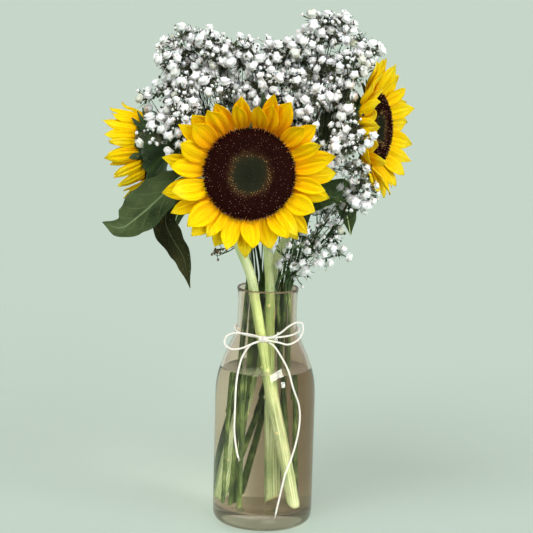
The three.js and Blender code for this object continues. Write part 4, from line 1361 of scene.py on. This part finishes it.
class Growth:
    """The twigs and florets of one spray as they are added, before they become a mesh."""

    def __init__(self):
        self.verts, self.faces, self.kinds, self.tones, self.hollow_shades = [], [], [], [], []

    def add(self, points, faces, kind, tone, hollow_shades=None):
        """Adds corners and faces in one finish, with one tone. The faces count their own corners from 0."""
        first = len(self.verts)
        self.verts += points
        self.faces += [tuple(first + v for v in face) for face in faces]
        self.kinds += [kind] * len(faces)
        self.tones += [tone] * len(points)
        self.hollow_shades += hollow_shades or [0.0] * len(points)

    def twig(self, line, thick, thin, sides=3, slant=0.0):
        """A tapered twig along a line. slant cuts its first end at an angle, and its pith shows there."""
        points, last = [], len(line) - 1
        side = (line[-1] - line[0]).orthogonal()
        for i, point in enumerate(line):
            way = way_at(line, i)
            side = (side - way * side.dot(way)).normalized()
            across = way.cross(side)
            radius = (thick + (thin - thick) * i / last) * MM
            for j in range(sides):
                turn = 2 * math.pi * j / sides
                cut = way * slant * (1 + math.cos(turn)) * radius if i == 0 else Vector()
                points.append(point + (side * math.cos(turn) + across * math.sin(turn)) * radius + cut)
        faces = []
        for i, j in itertools.product(range(last), range(sides)):
            n = (j + 1) % sides
            faces.append((i * sides + j, i * sides + n, (i + 1) * sides + n, (i + 1) * sides + j))
        faces.append(tuple(last * sides + j for j in range(sides)))
        self.add(points, faces, GREEN, 0.0)
        self.faces.append(tuple(len(self.verts) - len(points) + j for j in range(sides))[::-1])
        self.kinds.append(PALE if slant else GREEN)

    def floret(self, place, facing, size, depth, turn, tone):
        spun = facing.to_track_quat("Z", "Y").to_matrix() @ Matrix.Rotation(turn, 3, "Z")
        shape = FLORET_POINTS * (1, 0.76 + 0.3 * depth * depth, depth) * size * MM
        self.add([place + spun @ Vector(point) for point in shape], FLORET_SIDES, WHITE, tone, FLORET_HOLLOW_SHADES)

    def bud(self, place, size, kind, tone=0.88):
        points = [place + Vector(corner) * size for corner in CLOSED_BUD_POINTS]
        self.add(points, CLOSED_BUD_SIDES, kind, tone)

    def narrow_leaf(self, root, way, length):
        """A thin pointed leaf with a keel, its tip drooping."""
        side = way.cross(Vector((0, 0, 1))).normalized() * length * 0.09
        up = side.cross(way).normalized()
        tip = root + way * length - Vector((0, 0, 0.25 * length))
        middle = root + way * length * 0.5
        crest = middle + up * 0.5 * MM - way * 0.5 * MM
        points = [root, middle + side, middle - up * 0.3 * MM, middle - side, tip, crest]
        self.add(points, NARROW_LEAF_SIDES, GREEN, 0.0)

    def piece(self, name):
        """The finished object."""
        made = new_piece(name, self.verts, self.faces)
        store(made, "tone", self.tones)
        store(made, "hollow", self.hollow_shades)
        for finish in SPRAY_FINISHES:
            made.data.materials.append(finish)
        kinds = np.array(self.kinds, np.int32)
        made.data.polygons.foreach_set("material_index", kinds)
        made.data.polygons.foreach_set("use_smooth", kinds == WHITE)
        made.data.update()
        return made


def what_stands_there():
    """One search tree of all pieces that a twig has to pass, so without the solids, the water and the bow."""
    verts, faces = [], []
    for piece in bpy.data.objects:
        if piece.type == "MESH" and "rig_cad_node" not in piece and piece not in (water, tied_bow):
            first = len(verts)
            verts += [vert.co.copy() for vert in piece.data.vertices]
            faces += [tuple(first + v for v in face.vertices) for face in piece.data.polygons]
    return BVHTree.FromPolygons(verts, faces)


neighbours = what_stands_there()
grown_florets = {}


def free_way(start, end, gap):
    """Whether a twig from start to end, with a gap at its end, stays clear of what stands there."""
    way = end - start
    hit = neighbours.ray_cast(start, way.normalized(), way.length + gap)[0]
    near = neighbours.find_nearest(end, gap)[0]
    return hit is None and near is None


def cell(place):
    return tuple(math.floor(value / (CELL * MM)) for value in place)


def remember(place):
    """Files a floret under its cell of space and the ones next to it, so that near ones are found fast."""
    x, y, z = cell(place)
    for near in itertools.product((x - 1, x, x + 1), (y - 1, y, y + 1), (z - 1, z, z + 1)):
        grown_florets.setdefault(near, []).append(place)


def fan_of_florets(grown, key, middle, fork, outward, florets):
    """Florets spread about one place, each on a fine twig from the fork below it, where there is room."""
    for k in range(florets):
        level = 1 - 2 * (k + 0.5) / florets
        turn = GOLDEN_ANGLE * k + 6.28 * chance(key, 55)
        flat = math.sqrt(1 - level * level)
        even = Vector((flat * math.cos(turn), flat * math.sin(turn), level))
        way = even + 0.3 * outward + 0.4 * stray(key, 200 + 3 * k)
        way.normalize()
        size = SMALL_FLORET
        if chance(key, 350 + k) < 0.8:
            size = FLORET_SIZE + FLORET_SIZE_RANGE * chance(key, 300 + k)
        place = middle + way * (3 + 8 * chance(key, 400 + k)) * MM
        apart = (FLORET_GAP if size > SMALL_FLORET else SMALL_GAP) * MM
        crowded = any((place - other).length < apart for other in grown_florets.get(cell(place), []))
        if crowded or not free_way(fork, place, (size + 0.3) * MM):
            continue
        remember(place)
        facing = (way + 0.4 * outward + Vector((0, -0.2, 0.35))).normalized()
        depth = 0.75 + 0.3 * chance(key, 600 + k)
        grown.floret(place, facing, size, depth, 6.28 * chance(key, 500 + k), 0.97 * chance(key, 700 + k))
        base = place - facing * 0.7 * depth * size * MM
        sag = Vector((0, 0, 0.8 * MM))
        below, inside = base - facing * 0.8 * MM, base + facing * 0.7 * MM
        grown.twig([fork, fork.lerp(base, 0.55) - sag, below, inside], *FLORET_STALK)


def fan_of_twigs(grown, key, middle, fork, outward, twigs):
    """Bare hair-thin twigs about the same place, every third one with a closed bud."""
    for k in range(twigs):
        way = (stray(key, 800 + 3 * k).normalized() + outward * 0.1).normalized()
        end = middle + way * (4 + 6.5 * chance(key, 900 + k)) * MM
        root = fork.lerp(middle, 0.6 * chance(key, 950 + k)) + stray(key, 1000 + 3 * k) * MM
        if free_way(root, end, 0.9 * MM):
            grown.twig([root, root.lerp(end, 0.5) + stray(key, 1100 + 3 * k) * 1.5 * MM, end], *BARE_TWIG)
            if k % 3 == 0:
                size = BUD_SIZE + BUD_SIZE_RANGE * chance(key, 840 + k)
                grown.bud(end, size * MM, WHITE if k % 2 else GREEN)


def cluster(grown, key, middle, fork, outward, florets, twigs):
    """What fans out about one place on a spray."""
    fan_of_florets(grown, key, middle, fork, outward, florets)
    fan_of_twigs(grown, key, middle, fork, outward, twigs)


def side_stems(grown, low_part, rise):
    """Up to three thinner stems that rise beside the main one from the water to above the vase's mouth."""
    inward = -Vector((rise[0].x, rise[0].y, 0)).normalized()
    for k in range(3):
        aside = Matrix.Rotation(math.radians(75 * (k - 1)), 3, "Z") @ inward
        beside = low_part[5 + k:] + rise[2:17:2]
        line = [point + aside * (2.4 + 0.12 * n) * MM for n, point in enumerate(beside)]
        if all(neighbours.find_nearest(point, 0.8 * MM)[0] is None for point in line):
            grown.twig(line, *SIDE_STEM, sides=5)


def branches(grown, number, name, rise, centre, florets, twigs):
    """A branch to each bead and side shoot, from the nearest one before it, with a cluster on its end."""
    top = rise[-1]
    tips = [(point, (top - rise[0]).normalized()) for point in rise[16:]]
    beads = bead_centres("spray_" + name)
    shoots = [mm(*point) for point in SIDE_SHOOTS.get(name, [])]
    waiting = sorted(beads, key=lambda bead: min((bead - point).length for point in rise)) + shoots
    for n, bead in enumerate(waiting):
        key = number * 100 + n
        parent, _ = min(tips, key=lambda tip: (tip[0] - bead).length + 0.3 * max(0, tip[0].z - bead.z))
        fork = bead.lerp(parent, 0.3 if n < len(beads) else min(0.5, 7 * MM / (bead - parent).length))
        bow_out = stray(key, 50) * 2.5 * MM
        grown.twig([parent, parent.lerp(fork, 0.5) + bow_out, fork], *BRANCH)
        low = rise[int(12 + 14 * chance(key, 54))]
        if free_way(low, fork, 0.5 * MM):
            grown.twig([low, low.lerp(fork, 0.5) + bow_out - Vector((0, 0, 3 * MM)), fork], *LOW_BRANCH)
        tips.append((bead, (bead - parent).normalized()))
        outward = ((bead - centre).normalized() + Vector((0, 0, 0.25))).normalized()
        cluster(grown, key, bead, fork, outward, florets, twigs)
        if (bead - parent).length > 13 * MM:
            cluster(grown, key + 60, bead.lerp(parent, 0.5), parent.lerp(fork, 0.3), outward, florets, twigs)


def narrow_leaves(grown, number, rise):
    """Leaves in a spiral up the stem, where it is clear of the vase and there is room."""
    for k in range(12):
        root = rise[6 + 2 * k]
        turn = GOLDEN_ANGLE * k + number
        way = Vector((math.cos(turn), math.sin(turn), 0.8)).normalized()
        length = (15 + 10 * chance(number, 900 + k)) * MM
        if root.z > LEAFY_HEIGHT * MM and free_way(root + way * 2 * MM, root + way * length, 1.5 * MM):
            grown.narrow_leaf(root, way, length)


def dry_sprig(grown, rise):
    """The withered twigs, each with three brown buds."""
    for k, point in enumerate(DRY_SPRIG):
        end = mm(*point)
        root = min(rise, key=lambda place: (place - end).length)
        grown.twig([root, root.lerp(end, 0.5) - Vector((0, 0, 1.2 * MM)), end], *DRY_TWIG)
        for m in range(3):
            tip = end + stray(k, 60 + 3 * m) * 4 * MM
            grown.twig([end, tip], *DRY_TIP)
            grown.bud(tip, DRY_BUD * MM, WHITE, 1.0)


def spray(number, name, neck, foot, via, centre, tall, florets, twigs):
    """A spray: its stem, its twigs from bead to bead of its solid, and florets in place of each bead."""
    centre = mm(*centre)
    start, gate = mm(*foot, SPRAY_FOOT), mm(*neck, NECK_POINT)
    top = centre + mm(0, 0, 0.6 * tall)
    rise = smooth_line([gate, start.lerp(gate, 1.07), *(mm(*point) for point in via), centre, top], 40)
    low_part = [start.lerp(gate, k / 12) for k in range(13)]
    grown = Growth()
    grown.twig(low_part, SPRAY_FOOT_RADIUS, SPRAY_STEM_RADIUS, sides=8, slant=0.8)
    grown.twig(rise, SPRAY_STEM_RADIUS, SPRAY_TOP_RADIUS, sides=7)
    if florets > 8:
        side_stems(grown, low_part, rise)
    branches(grown, number, name, rise, centre, florets, twigs)
    narrow_leaves(grown, number, rise)
    if name == "left":
        dry_sprig(grown, rise)
    piece = grown.piece("babys_breath_" + name)
    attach(piece, "root")
    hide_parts("spray_" + name)


for number, plan in enumerate(SPRAYS):
    spray(number, *plan)

# Floor and light
# A plain pale floor that runs far out to the back. A soft sun from the upper left front, a broader one from
# the right, and two window panes that show only as reflections, on the glass above all.
FLOOR_SIZE = 160
FLOOR_COLOUR = (0.474, 0.569, 0.498)
FLOOR_HEIGHT = -0.0004
LAMP_DISTANCE = 2.4
LIT_HEIGHT = 0.14
SKY_COLOUR = (1.0, 0.985, 0.96)
SKY_STRENGTH = 0.5
# Each sun: its name, azimuth, elevation, strength and angle.
SUNS = [("key", -33, 48, 1.7, 42), ("fill", 44, 22, 2.4, 60)]
# Each pane: its name, azimuth, elevation, power, width, height and tilt.
PANES = [("window", 27, 20, 46, 1.3, 0.36, 10), ("side_window", 42, 7.3, 15, 0.38, 0.3, 0)]


def lamp(kind, name, azimuth, elevation, energy):
    """A light from an azimuth and an elevation in degrees. 0 is the camera's side, and right is positive."""
    a, e = math.radians(azimuth), math.radians(elevation)
    away = Vector((math.sin(a) * math.cos(e), -math.cos(a) * math.cos(e), math.sin(e)))
    bpy.ops.object.light_add(type=kind, location=away * LAMP_DISTANCE + Vector((0, 0, LIT_HEIGHT)))
    made = bpy.context.object
    made.name = name
    made.rotation_mode = "QUATERNION"
    made.rotation_quaternion = away.to_track_quat("Z", "Y")
    made.data.energy = energy
    return made


bpy.ops.object.select_all(action="DESELECT")
bpy.ops.mesh.primitive_plane_add(size=FLOOR_SIZE, location=(0, 60, FLOOR_HEIGHT))
floor = bpy.context.object
floor.name = "floor"
floor_finish, _, _ = material("pale_floor", {
    "Base Color": opaque(FLOOR_COLOUR), "Roughness": 0.9, "Specular IOR Level": 0.0})
floor.data.materials.append(floor_finish)

for name, azimuth, elevation, strength, angle in SUNS:
    sun = lamp("SUN", name, azimuth, elevation, strength)
    sun.data.angle = math.radians(angle)
    sun.visible_glossy = False
for name, azimuth, elevation, power, wide, high, tilt in PANES:
    pane = lamp("AREA", name, azimuth, elevation, power)
    pane.data.shape = "RECTANGLE"
    pane.data.size, pane.data.size_y = wide, high
    pane.rotation_quaternion = pane.rotation_quaternion @ Quaternion((0, 0, 1), math.radians(tilt))
    pane.visible_diffuse = False
    pane.visible_transmission = False
world = bpy.data.worlds.new("studio")
bpy.context.scene.world = world
world.use_nodes = True
background = world.node_tree.nodes["Background"]
background.inputs["Color"].default_value = opaque(SKY_COLOUR)
background.inputs["Strength"].default_value = SKY_STRENGTH
bpy.context.scene.view_settings.view_transform = "Standard"
